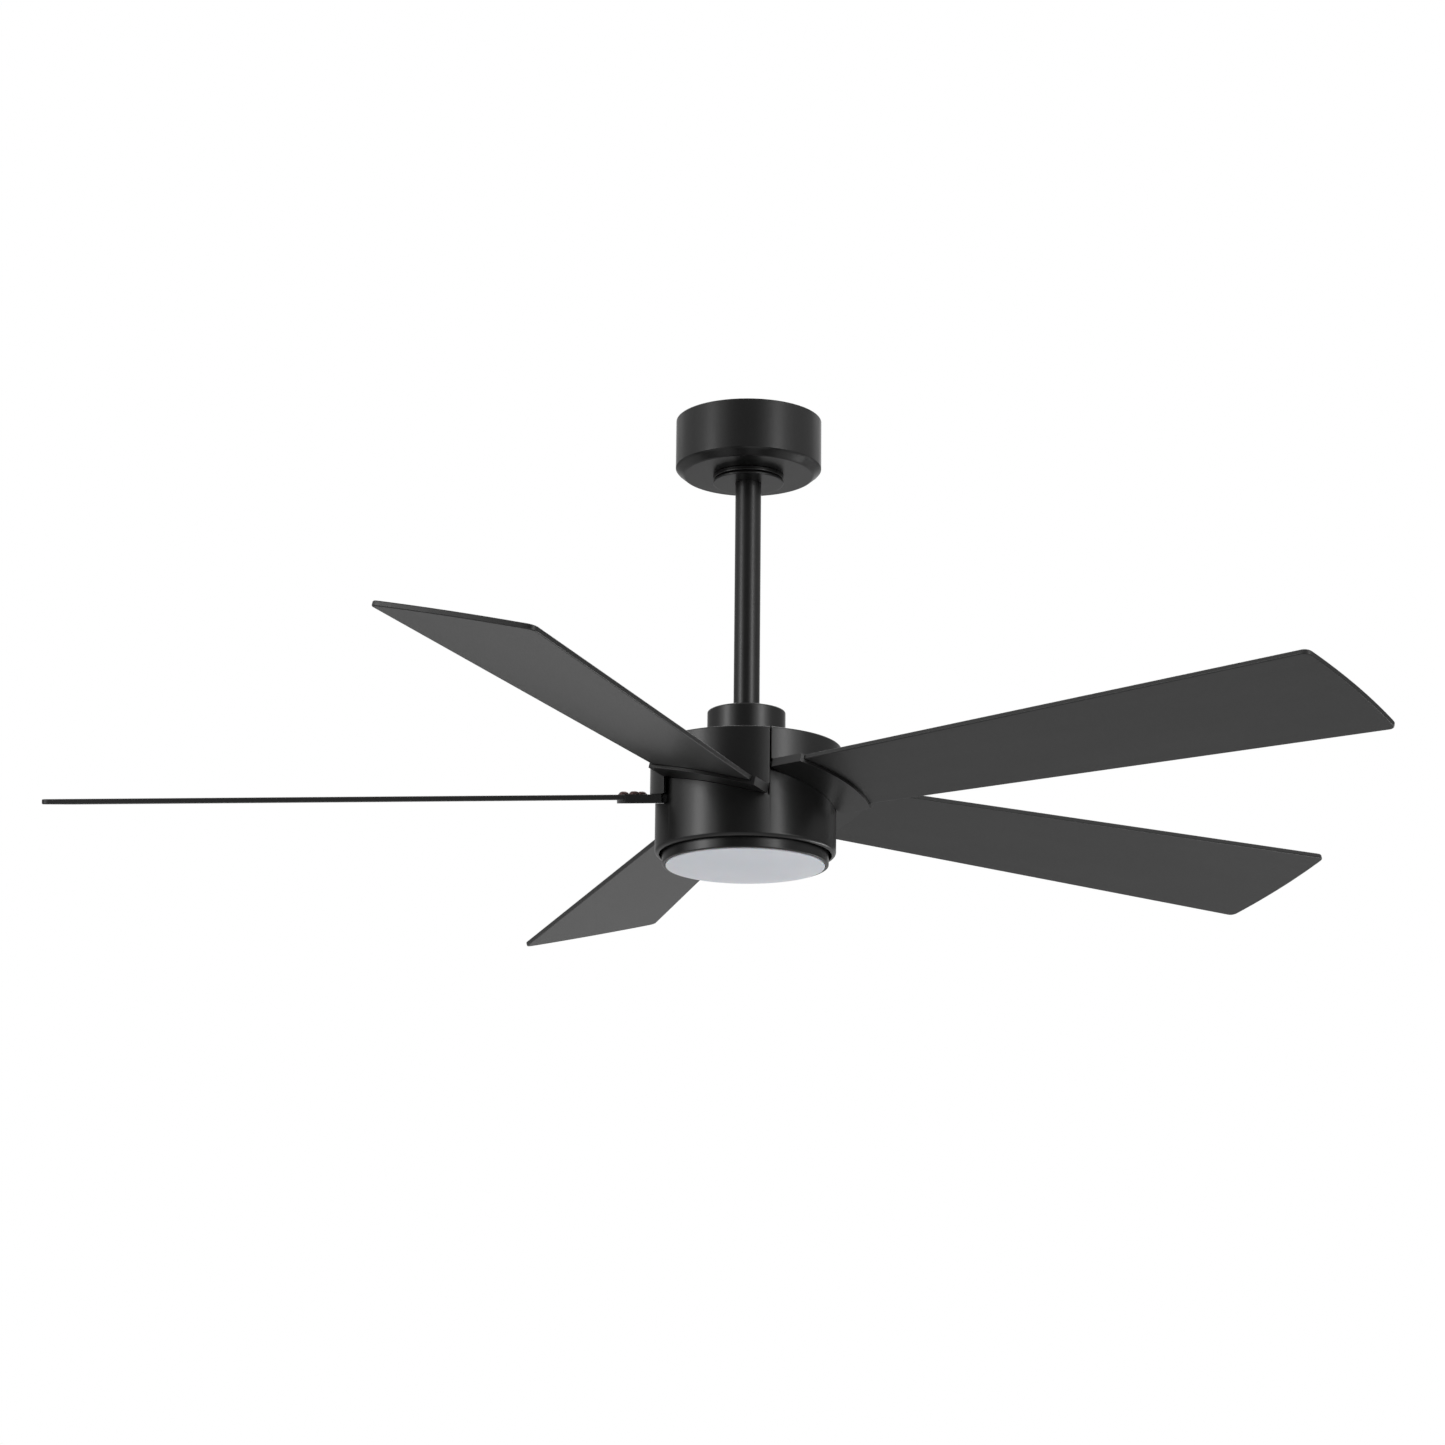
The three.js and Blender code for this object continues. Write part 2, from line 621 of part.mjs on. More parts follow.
function bladeShape() {
  const spread = Math.asin(ROOT_HALF_WIDTH / ROOT_ARC_RADIUS);
  const rootX = ROOT_ARC_RADIUS * Math.cos(spread);
  const highCorner = new THREE.Vector2(Math.sqrt(SWEEP_RADIUS ** 2 - TIP_HIGH_EDGE ** 2), TIP_HIGH_EDGE);
  const lowCorner = new THREE.Vector2(Math.sqrt(SWEEP_RADIUS ** 2 - TIP_LOW_EDGE ** 2), TIP_LOW_EDGE);
  const highFlare = new THREE.Vector2(FLARE_START, -ROOT_HALF_WIDTH);
  const lowFlare = new THREE.Vector2(FLARE_START, ROOT_HALF_WIDTH);
  const highStart = highCorner.clone().lerp(highFlare, TIP_FILLET / highCorner.distanceTo(highFlare));
  const lowEnd = lowCorner.clone().lerp(lowFlare, TIP_FILLET / lowCorner.distanceTo(lowFlare));
  const filletAngle = TIP_FILLET / SWEEP_RADIUS;
  const fromAngle = highCorner.angle() - 2 * Math.PI + filletAngle;
  const toAngle = lowCorner.angle() - filletAngle;
  const shape = new THREE.Shape();
  shape.moveTo(rootX, -ROOT_HALF_WIDTH);
  shape.lineTo(highFlare.x, highFlare.y);
  shape.lineTo(highStart.x, highStart.y);
  shape.quadraticCurveTo(highCorner.x, highCorner.y,
    SWEEP_RADIUS * Math.cos(fromAngle), SWEEP_RADIUS * Math.sin(fromAngle));
  shape.absarc(0, 0, SWEEP_RADIUS, fromAngle, toAngle);
  shape.quadraticCurveTo(lowCorner.x, lowCorner.y, lowEnd.x, lowEnd.y);
  shape.lineTo(lowFlare.x, lowFlare.y);
  shape.lineTo(rootX, ROOT_HALF_WIDTH);
  shape.absarc(0, 0, ROOT_ARC_RADIUS, spread, -spread, true);
  shape.closePath();
  for (const [x, y] of BLADE_SCREWS) {
    const hole = new THREE.Path();
    hole.absarc(x, y, 2.8, 0, 2 * Math.PI, true);
    shape.holes.push(hole);
  }
  return shape;
}

function makeBladeScrew() {
  const headBottom = BLADE_THICKNESS + GAP;
  const end = -2.5;
  return turned([
    [0, end], [2.3, end], [2.3, headBottom], [5.8, headBottom], [5.8, headBottom + 0.9],
    [4, headBottom + 2.8], [0, headBottom + 3.5],
  ], SIDES_TINY);
}

// ---------------------------------------------------------------- light

const lightScrewPlaces = [90, 270].map((degrees) => [
  LIGHT_SCREW_RADIUS * Math.cos(radians(degrees)), LIGHT_SCREW_RADIUS * Math.sin(radians(degrees))]);

function lightScrewHoles() {
  const hole = rod(2.2, PLATE_BOTTOM - 11.5, PLATE_TOP + 6, SIDES_TINY);
  return lightScrewPlaces.map(([x, y]) => moved(hole, x, y, 0));
}

function makeMountPlate() {
  return without(tube(SHAFT_RADIUS + GAP, 84, PLATE_BOTTOM, PLATE_TOP, SIDES_LARGE), lightScrewHoles());
}

function makeShaftNut() {
  const hexagon = rod(14, SHAFT_BOTTOM, PLATE_BOTTOM - GAP, 6);
  return without(hexagon, [rod(SHAFT_RADIUS + GAP, SHAFT_BOTTOM - 8, PLATE_TOP + 6, SIDES_SMALL)]);
}

function makeLedDriver() {
  const seat = PLATE_TOP + GAP;
  const body = block([14, 64], [-17, 17], [seat, -428]);
  const feet = block([11, 67], [-8, 8], [seat, PLATE_TOP + 2]);
  return body.add(feet);
}

function makeLedBoard() {
  const top = -452.6;
  const halfChip = 1.8;
  const board = rod(67, top - 1.6, top, SIDES_MEDIUM);
  const chips = [];
  for (const [radius, count] of [[24, 6], [50, 12]]) {
    for (let i = 0; i < count; i += 1) {
      const sides = [-halfChip, halfChip];
      const chip = block([radius - halfChip, radius + halfChip], sides, [top - 2.6, top - 1]);
      chips.push(spun(chip, (i * 360) / count));
    }
  }
  return union([board, ...chips]);
}

function makeLightScrew() {
  const [headBottom, headTop, end] = [-453.8, -451.5, -443];
  return turned([
    [0, headBottom], [3.8, headBottom], [3.8, headTop], [1.9, headTop], [1.9, end], [0, end],
  ], SIDES_TINY);
}

function bayonetTabs(innerRadius, outerRadius, bottom, top) {
  const sector = new THREE.Shape();
  const half = radians(LUG_HALF_ANGLE);
  sector.moveTo(innerRadius * Math.cos(half), -innerRadius * Math.sin(half));
  sector.lineTo(outerRadius * Math.cos(half), -outerRadius * Math.sin(half));
  sector.absarc(0, 0, outerRadius, -half, half);
  sector.lineTo(innerRadius * Math.cos(half), innerRadius * Math.sin(half));
  sector.closePath();
  const tab = prism(sector, bottom, top);
  return Array.from({ length: LUG_COUNT }, (_, i) => spun(tab, (i * 360) / LUG_COUNT));
}

function makeLightRing() {
  const inner = RING_RADIUS - 2;
  const lip = DIFFUSER_RADIUS + 0.6;
  const flangeHole = 69;
  const flangeTop = PLATE_BOTTOM - GAP;
  const flangeBottom = flangeTop - 2.4;
  const ledge = RING_BOTTOM + 4;
  const ring = turned([
    [RING_RADIUS, flangeTop], [RING_RADIUS, RING_BOTTOM + 1.5], [RING_RADIUS - 0.5, RING_BOTTOM + 0.5],
    [RING_RADIUS - 1.5, RING_BOTTOM], [lip, RING_BOTTOM], [lip, ledge], [inner, ledge],
    [inner, flangeBottom], [flangeHole, flangeBottom], [flangeHole, flangeTop],
  ], SIDES_LARGE);
  const tabs = bayonetTabs(80.5, inner + 0.6, -466.4, -464.4);
  return without(union([ring, ...tabs]), lightScrewHoles());
}

// A shallow dome with a straight collar that goes up into the ring.
function makeDiffuser() {
  const collar = 79.8;
  const wall = 2;
  const rim = RING_BOTTOM - 1;
  const step = rim + 4.3;
  const top = -461.6;
  const domeSteps = 4;
  const outer = [];
  const inner = [];
  for (let i = 0; i <= domeSteps; i += 1) {
    const share = i / domeSteps;
    const height = rim - (rim - DOME_BOTTOM) * (1 - share ** 2.4);
    outer.push([DIFFUSER_RADIUS * share, height]);
    inner.push([(collar - wall) * share, height + wall]);
  }
  const body = turned([
    ...outer, [DIFFUSER_RADIUS, step], [collar, step], [collar, top], [collar - wall, top],
    ...inner.reverse(),
  ], SIDES_LARGE);
  return union([body, ...bayonetTabs(collar - 1, 82.2, -464, -461.8)]);
}

// ---------------------------------------------------------------- put together

addPiece('hanger_bracket', makeHangerBracket(), zincSteel);
addPiece('receiver_module', makeReceiver(), blackPlastic);
addPiece('canopy_shell', makeCanopy(), blackMetal);
addPiece('canopy_screw_1', moved(makeCanopyScrew(), -CANOPY_SCREW_X, 0, 0), zincSteel);
addPiece('canopy_screw_2', moved(makeCanopyScrew(), CANOPY_SCREW_X, 0, 0), zincSteel);
addPiece('canopy_bottom_cover', makeCanopyCover(), blackMetal);

addPiece('hanger_ball', makeBall(), nylon);
addPiece('ball_cross_pin', makeBallPin(), zincSteel);
addPiece('downrod', makeDownrod(), blackMetal);
addPiece('rod_trim_ring', makeTrimRing(), blackMetal);
addPiece('lead_bundle', makeLeads(), leadGrey);

addPiece('rod_yoke', makeYoke(), castAluminium);
addPiece('clevis_pin', makeClevisPin(), zincSteel);
addPiece('hairpin_clip', makeHairpin(), zincSteel);
addPiece('yoke_set_screw_1', makeYokeScrew(1), zincSteel);
addPiece('yoke_set_screw_2', makeYokeScrew(-1), zincSteel);
addPiece('coupling_cover', makeCouplingCover(), blackMetal);

addPiece('motor_shaft', tube(SHAFT_BORE, SHAFT_RADIUS, SHAFT_BOTTOM, SHAFT_TOP, SIDES_SMALL), zincSteel);
addPiece('stator_core', makeStatorCore(), siliconSteel);
addPiece('stator_winding', makeStatorWinding(), copper);
addPiece('upper_bearing', makeBearing(MOTOR_TOP - 9.3), zincSteel);
addPiece('lower_bearing', makeBearing(MOTOR_BOTTOM + 2.1), zincSteel);
addPiece('rotor_top_case', makeRotorTopCase(), castAluminium);
addPiece('rotor_bottom_case', makeRotorBottomCase(), castAluminium);
addPiece('magnet_ring', makeMagnetRing(), ferrite);
addPiece('upper_housing', makeUpperHousing(), blackMetal);
addPiece('lower_housing', makeLowerHousing(), blackMetal);

const bracket = makeBracket();
const blade = prism(bladeShape(), 0, BLADE_THICKNESS);
const bladeScrew = makeBladeScrew();
for (const index of bladeIndexes) {
  const arm = new THREE.Group();
  arm.applyMatrix4(bladeFrame(index));
  fan.add(arm);
  addPiece(`blade_bracket_${index + 1}`, bracket, blackMetal, arm);
  addPiece(`blade_${index + 1}`, blade, blackBlade, arm);
  BLADE_SCREWS.forEach(([x, y], place) => {
    addPiece(`blade_screw_${index + 1}_${place + 1}`, moved(bladeScrew, x, y, 0), brownScrew, arm);
  });
}

addPiece('light_mount_plate', makeMountPlate(), zincSteel);
addPiece('shaft_nut', makeShaftNut(), zincSteel);
addPiece('led_driver', makeLedDriver(), circuitWhite);
addPiece('led_board', makeLedBoard(), circuitWhite);
addPiece('light_ring', makeLightRing(), blackMetal);
lightScrewPlaces.forEach(([x, y], place) => {
  addPiece(`light_screw_${place + 1}`, moved(makeLightScrew(), x, y, 0), zincSteel);
});
addPiece('diffuser', makeDiffuser(), frostedWhite);

export default fan;
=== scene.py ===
import math

import bmesh
import bpy
from mathutils import Matrix, Vector


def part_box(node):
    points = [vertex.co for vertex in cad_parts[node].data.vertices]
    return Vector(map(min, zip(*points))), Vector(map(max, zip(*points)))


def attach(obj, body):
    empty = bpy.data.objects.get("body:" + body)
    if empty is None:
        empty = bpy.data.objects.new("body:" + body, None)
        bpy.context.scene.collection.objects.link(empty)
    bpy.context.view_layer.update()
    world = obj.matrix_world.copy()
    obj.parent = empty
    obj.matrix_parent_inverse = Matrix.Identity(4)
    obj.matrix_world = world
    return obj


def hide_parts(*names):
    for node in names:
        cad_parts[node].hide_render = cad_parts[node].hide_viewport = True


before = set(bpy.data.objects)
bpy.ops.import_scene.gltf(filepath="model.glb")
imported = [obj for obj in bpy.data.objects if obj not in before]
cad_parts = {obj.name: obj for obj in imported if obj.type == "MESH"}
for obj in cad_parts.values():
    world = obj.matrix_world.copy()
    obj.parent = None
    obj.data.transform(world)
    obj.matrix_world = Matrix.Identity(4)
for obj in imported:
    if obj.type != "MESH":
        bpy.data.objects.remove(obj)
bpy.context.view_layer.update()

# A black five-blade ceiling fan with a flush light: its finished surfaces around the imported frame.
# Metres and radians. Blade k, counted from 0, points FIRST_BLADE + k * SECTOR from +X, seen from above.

MM = 0.001


def radius_of(node):
    low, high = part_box(node)
    return (high.x - low.x) / 2


def bottom_of(node):
    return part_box(node)[0].z


def top_of(node):
    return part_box(node)[1].z


# ---------------------------------------------------------------- driving dimensions

BLADES = 5
FIRST_BLADE = math.radians(32)
SECTOR = 2 * math.pi / BLADES
PITCH = math.radians(13.5)
BLADE_PLANE = -405 * MM  # where the plane of a blade's underside meets the fan's axis
BLADE_THICKNESS = 5.2 * MM

BALL_CENTRE = -42 * MM
ROD_RADIUS = radius_of("downrod")
ROD_WALL = 2 * MM
COVER_RADIUS = radius_of("canopy_bottom_cover")
COLLAR_RADIUS = radius_of("coupling_cover")
UPPER_RADIUS = radius_of("upper_housing")
UPPER_WALL = 3 * MM
UPPER_PLATE = 2.5 * MM  # thickness of the upper housing's top
UPPER_RIM = UPPER_RADIUS - 4.5 * MM  # where the top plate meets the five walls
LOWER_RADIUS = radius_of("lower_housing")
LOWER_WALL = 2.5 * MM
LOWER_LIP = 4.5 * MM
SLOT = math.radians(0.9)  # gap between neighbouring sectors of the housing
SLOT_FLOOR_RADIUS = 87 * MM

SWEEP_RADIUS = 711.2 * MM
TIP_RADIUS = SWEEP_RADIUS - 0.6 * MM  # just inside the frame's flat-sided tip
ROOT_HALF_WIDTH = 54.4 * MM
ROOT_ARC_RADIUS = 99.5 * MM
FLARE_START = 122 * MM
TIP_HIGH_EDGE = -68 * MM
TIP_LOW_EDGE = 93 * MM
TIP_FILLET = 7.5 * MM

TRAY_RADIUS = 131 * MM
TRAY_HALF_WIDTH = 58.2 * MM
TRAY_FLOOR = 3.6 * MM
TRAY_INNER_X = 81 * MM
NECK_HALF_WIDTH = 40 * MM
NECK_RADIUS = 80 * MM
POCKET_GAP = 0.3 * MM  # beside and under a blade in its tray
BLADE_SCREWS = [(124.5 * MM, 0), (110 * MM, -40 * MM), (110 * MM, 40 * MM)]

RING_RADIUS = radius_of("light_ring")
DIFFUSER_RADIUS = radius_of("diffuser") - 1 * MM  # the frame's box takes in a lug that this skin leaves out

AZIMUTH_STEPS = 192
FILLET_STEPS = 5
SUPPORT = 0.3 * MM  # keeps a flat face flat beside a rounded edge


# ---------------------------------------------------------------- materials

def link(tree, source, output, target, socket):
    tree.links.new(source.outputs[output], target.inputs[socket])


def node(tree, kind, **values):
    made = tree.nodes.new(kind)
    for name, value in values.items():
        made.inputs[name].default_value = value
    return made


STEEPEST_TOP = 0.8  # upward part of the normal where dust starts to lie
DUST_ROUGHNESS = 0.35
CLEAN_SHINE, DUSTY_SHINE = 0.5, 0.15


def dull_tops(tree, shader, gloss):
    """Makes the faces that look up rougher and less shiny, as settled dust does."""
    face = tree.nodes.new("ShaderNodeNewGeometry")
    parts = tree.nodes.new("ShaderNodeSeparateXYZ")
    link(tree, face, "Normal", parts, "Vector")
    dust = node(tree, "ShaderNodeMapRange", **{"From Min": STEEPEST_TOP, "To Max": DUST_ROUGHNESS})
    shine = node(tree, "ShaderNodeMapRange",
                 **{"From Min": STEEPEST_TOP, "To Min": CLEAN_SHINE, "To Max": DUSTY_SHINE})
    for amount in (dust, shine):
        link(tree, parts, "Z", amount, "Value")
    total = tree.nodes.new("ShaderNodeMath")
    link(tree, dust, "Result", total, 0)
    link(tree, gloss, "Result", total, 1)
    link(tree, total, "Value", shader, "Roughness")
    link(tree, shine, "Result", shader, "Specular IOR Level")


def surface(name, tones, roughness, clouds=40, stretch=(1, 1, 1), fine=1800, relief=0.02 * MM,
            coordinates="Object", dusty=False, **shader_values):
    """A material whose colour and roughness drift between two values, over a fine relief."""
    material = bpy.data.materials.new(name)
    material.use_nodes = True
    tree = material.node_tree
    shader = tree.nodes["Principled BSDF"]
    for socket, value in shader_values.items():
        shader.inputs[socket.replace("_", " ")].default_value = value
    place = tree.nodes.new("ShaderNodeTexCoord")
    mapping = node(tree, "ShaderNodeMapping", Scale=stretch)
    link(tree, place, coordinates, mapping, "Vector")
    drift = node(tree, "ShaderNodeTexNoise", Scale=clouds, Detail=5.0)
    grit = node(tree, "ShaderNodeTexNoise", Scale=fine, Detail=2.0)
    for texture in (drift, grit):
        link(tree, mapping, "Vector", texture, "Vector")
    colours = tree.nodes.new("ShaderNodeValToRGB")
    for stop, at, tone in zip(colours.color_ramp.elements, (0.3, 0.7), tones):
        stop.position = at
        stop.color = (*tone, 1)
    link(tree, drift, "Fac", colours, "Fac")
    link(tree, colours, "Color", shader, "Base Color")
    gloss = node(tree, "ShaderNodeMapRange", **{"To Min": roughness[0], "To Max": roughness[1]})
    link(tree, grit, "Fac", gloss, "Value")
    link(tree, gloss, "Result", shader, "Roughness")
    if dusty:
        dull_tops(tree, shader, gloss)
    bump = node(tree, "ShaderNodeBump", Strength=1.0, Distance=relief)
    link(tree, grit, "Fac", bump, "Height")
    link(tree, bump, "Normal", shader, "Normal")
    return material


def grey(dark, light):
    """The two tones of a colourless surface."""
    return [(dark,) * 3, (light,) * 3]


BLACK_METAL = surface("black_metal", grey(0.0045, 0.0065), (0.26, 0.33), clouds=25, dusty=True)
BLACK_BLADE = surface("black_blade", grey(0.008, 0.012), (0.36, 0.44), clouds=30, stretch=(0.15, 1, 1),
                      fine=1200, relief=0.03 * MM, coordinates="UV", dusty=True)
BROWN_SCREW = surface("brown_screw", [(0.042, 0.018, 0.015), (0.075, 0.034, 0.028)], (0.28, 0.42),
                      clouds=400, Metallic=0.6)
ZINC_STEEL = surface("zinc_steel", [(0.30, 0.31, 0.32), (0.37, 0.38, 0.38)], (0.36, 0.48),
                     clouds=70, fine=1200, Metallic=1.0)
CAST_ALUMINIUM = surface("cast_aluminium", grey(0.34, 0.46), (0.42, 0.6), clouds=90, fine=900,
                         relief=0.06 * MM, Metallic=1.0)
SILICON_STEEL = surface("silicon_steel", [(0.11, 0.12, 0.14), (0.18, 0.19, 0.21)], (0.35, 0.5),
                        clouds=60, stretch=(1, 1, 30), Metallic=0.9)
COPPER = surface("copper", [(0.42, 0.14, 0.05), (0.60, 0.23, 0.09)], (0.25, 0.4), clouds=120,
                 stretch=(1, 1, 12), relief=0.08 * MM, Metallic=1.0)
FERRITE = surface("ferrite", grey(0.025, 0.045), (0.55, 0.75), clouds=300, fine=900, Metallic=0.1)
BLACK_PLASTIC = surface("black_plastic", grey(0.014, 0.02), (0.42, 0.55), clouds=80, fine=2600,
                        relief=0.03 * MM)
WHITE_PLASTIC = surface("white_plastic", grey(0.72, 0.80), (0.35, 0.5), clouds=60)
FROSTED_WHITE = surface("frosted_white", [(0.80, 0.83, 0.89), (0.84, 0.86, 0.92)], (0.30, 0.38), clouds=20,
                        fine=2500, relief=0.01 * MM, Subsurface_Weight=0.15, Subsurface_Scale=3 * MM)
LEAD_SLEEVE = surface("lead", grey(0.03, 0.05), (0.5, 0.65), clouds=150, stretch=(1, 1, 0.2))


# ---------------------------------------------------------------- outlines

def fillet(before, corner, after, radius):
    """The points of an arc of that radius in a corner of an outline."""
    if radius == 0:
        return [corner]
    incoming = (before - corner).normalized()
    outgoing = (after - corner).normalized()
    half = incoming.angle(outgoing) / 2
    centre = corner + (incoming + outgoing).normalized() * (radius / math.sin(half))
    start = corner + incoming * (radius / math.tan(half)) - centre
    turn = math.copysign(math.pi - 2 * half, start.cross(corner - centre)) / FILLET_STEPS
    return [centre + Matrix.Rotation(turn * step, 2) @ start for step in range(FILLET_STEPS + 1)]


def rounded(corners):
    """A closed outline from (x, y, fillet radius) corners, with a support point on either side of each."""
    places = [Vector(corner[:2]) for corner in corners]
    count = len(corners)
    arcs = [fillet(places[i - 1], places[i], places[(i + 1) % count], corners[i][2]) for i in range(count)]
    outline = []
    for i, points in enumerate(arcs):
        ahead = arcs[(i + 1) % count][0]
        run = ahead - points[-1]
        step = run.normalized() * min(SUPPORT, run.length / 3)
        outline += points + [points[-1] + step, ahead - step]
    return outline


def arc_points(radius, start, end, steps):
    """Points on an arc about the origin."""
    angles = [start + (end - start) * i / steps for i in range(steps + 1)]
    return [Vector((radius * math.cos(angle), radius * math.sin(angle))) for angle in angles]


def polar(radius, azimuth, z):
    return Vector((radius * math.cos(azimuth), radius * math.sin(azimuth), z))


# ---------------------------------------------------------------- meshes

SHARP_ANGLE = math.radians(40)
WELD = 1e-6


def mesh_of(bm, name):
    bmesh.ops.remove_doubles(bm, verts=bm.verts, dist=WELD)
    bmesh.ops.recalc_face_normals(bm, faces=bm.faces)
    mesh = bpy.data.meshes.new(name)
    bm.to_mesh(mesh)
    bm.free()
    mesh.shade_smooth()
    mesh.set_sharp_from_angle(angle=SHARP_ANGLE)
    return mesh


def add_skin(bm, columns, closed):
    """A skin through sections of equally many points. An open run of them gets a face over each end."""
    rings = [[bm.verts.new(point) for point in column] for column in columns]
    pairs = list(zip(rings, rings[1:]))
    if closed:
        pairs.append((rings[-1], rings[0]))
    else:
        bm.faces.new(rings[0])
        bm.faces.new(list(reversed(rings[-1])))
    for near, far in pairs:
        for i in range(len(near)):
            j = (i + 1) % len(near)
            bm.faces.new((near[i], near[j], far[j], far[i]))


def add_turned(bm, corners, place=Matrix.Identity(4), steps=AZIMUTH_STEPS):
    """The solid that an outline of (radius, height, fillet radius) corners sweeps about the axis."""
    outline = rounded(corners)
    azimuths = [2 * math.pi * i / steps for i in range(steps)]
    columns = [[place @ polar(radius, azimuth, z) for radius, z in outline] for azimuth in azimuths]
    add_skin(bm, columns, closed=True)


def add_prism(bm, outline, bottom, top, place=Matrix.Identity(4)):
    rings = [[place @ Vector((x, y, height)) for x, y in outline] for height in (bottom, top)]
    add_skin(bm, rings, closed=False)


def turned(name, corners):
    bm = bmesh.new()
    add_turned(bm, corners)
    return mesh_of(bm, name)


def prism(name, outline, bottom, top):
    bm = bmesh.new()
    add_prism(bm, outline, bottom, top)
    return mesh_of(bm, name)


def joined(name, base, others, operation="DIFFERENCE"):
    """The first mesh with the others cut from it or added to it."""
    keeper = bpy.data.objects.new(name, base)
    bpy.context.scene.collection.objects.link(keeper)
    helpers = []
    for other in others:
        helper = bpy.data.objects.new(name + "_helper", other)
        bpy.context.scene.collection.objects.link(helper)
        helpers.append(helper)
        modifier = keeper.modifiers.new("join", "BOOLEAN")
        modifier.solver = "EXACT"
        modifier.operation = operation
        modifier.object = helper
    graph = bpy.context.evaluated_depsgraph_get()
    result = bpy.data.meshes.new_from_object(keeper.evaluated_get(graph))
    for extra in [keeper, *helpers]:
        bpy.data.objects.remove(extra)
    result.name = name
    result.shade_smooth()
    result.set_sharp_from_angle(angle=SHARP_ANGLE)
    return result


def round_edges(piece, width):
    bevel = piece.modifiers.new("edges", "BEVEL")
    bevel.width = width
    bevel.segments = 3
    bevel.limit_method = "ANGLE"
    bevel.angle_limit = SHARP_ANGLE
    bevel.harden_normals = True


def add_piece(name, mesh, body, material, nodes, edge=0):
    """A finished piece in its place, riding on its body, with its sharp edges rounded by edge."""
    piece = bpy.data.objects.new(name, mesh)
    bpy.context.scene.collection.objects.link(piece)
    piece.data.materials.clear()
    piece.data.materials.append(material)
    if edge:
        round_edges(piece, edge)
    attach(piece, body)
    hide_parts(*nodes)
    return piece


# ---------------------------------------------------------------- canopy and downrod

def make_canopy():
    """An open-topped drum with a small step and a chamfer round its flat bottom."""
    radius, bottom, top = radius_of("canopy_shell"), bottom_of("canopy_shell"), top_of("canopy_shell")
    wall, floor, hole = 1.5 * MM, 1.2 * MM, 20 * MM
    chamfer = 9.1 * MM
    corners = [
        (radius, top, 0.4 * MM),
        (radius, bottom + 7.5 * MM, 0.8 * MM),
        (radius - 1.4 * MM, bottom + 5.8 * MM, 0.5 * MM),
        (radius - 7.6 * MM, bottom + 0.6 * MM, 1 * MM),
        (radius - chamfer, bottom, 1 * MM),
        (hole, bottom, 0.3 * MM),
        (hole, bottom + floor, 0.3 * MM),
        (radius - chamfer - 0.5 * MM, bottom + floor, 0.8 * MM),
        (radius - wall, bottom + 7.7 * MM, 0.8 * MM),
        (radius - wall, top, 0.4 * MM),
    ]
    mesh = turned("canopy_skin", corners)
    add_piece("canopy_skin", mesh, "ceiling_mount", BLACK_METAL, ["canopy_shell"])


def make_hanger_ball():
    """A nylon ball with a slot for the bracket's key and a hole for the cross pin."""
    low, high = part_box("hanger_ball")
    radius, bore, edge = radius_of("hanger_ball"), ROD_RADIUS + 0.85 * MM, 0.6 * MM
    steps = 24
    start = math.asin((low.z - BALL_CENTRE) / radius)
    step = (math.asin((high.z - BALL_CENTRE) / radius) - start) / steps
    side = []
    for i in range(steps + 1):
        turn = start + i * step
        rounding_here = edge if i in (0, steps) else 0
        side.append((radius * math.cos(turn), BALL_CENTRE + radius * math.sin(turn), rounding_here))
    ball = turned("hanger_ball_skin", [(bore, low.z, edge), *side, (bore, high.z, edge)])

    outside = 30 * MM
    half_key, key_depth = 2.5 * MM, 19.5 * MM
    key = [(-half_key, -outside), (half_key, -outside), (half_key, -key_depth), (-half_key, -key_depth)]
    slot = prism("key_slot", key, low.z - 10 * MM, BALL_CENTRE)
    pin = 3.3 * MM
    bm = bmesh.new()
    add_turned(bm, [(0, -outside, 0), (pin, -outside, 0), (pin, outside, 0), (0, outside, 0)],
               Matrix.Translation((0, 0, BALL_CENTRE)) @ Matrix.Rotation(math.pi / 2, 4, "Y"), steps=32)
    mesh = joined("hanger_ball_skin", ball, [slot, mesh_of(bm, "pin_hole")])
    add_piece("hanger_ball_skin", mesh, "hanger_ball", BLACK_PLASTIC, ["hanger_ball"],
              edge=0.4 * MM)


def rounded_box(bm, low, high, radius):
    """A block with its upright edges rounded by radius."""
    corners = [(low.x, low.y), (high.x, low.y), (high.x, high.y), (low.x, high.y)]
    add_prism(bm, rounded([(x, y, radius) for x, y in corners]), low.z, high.z)


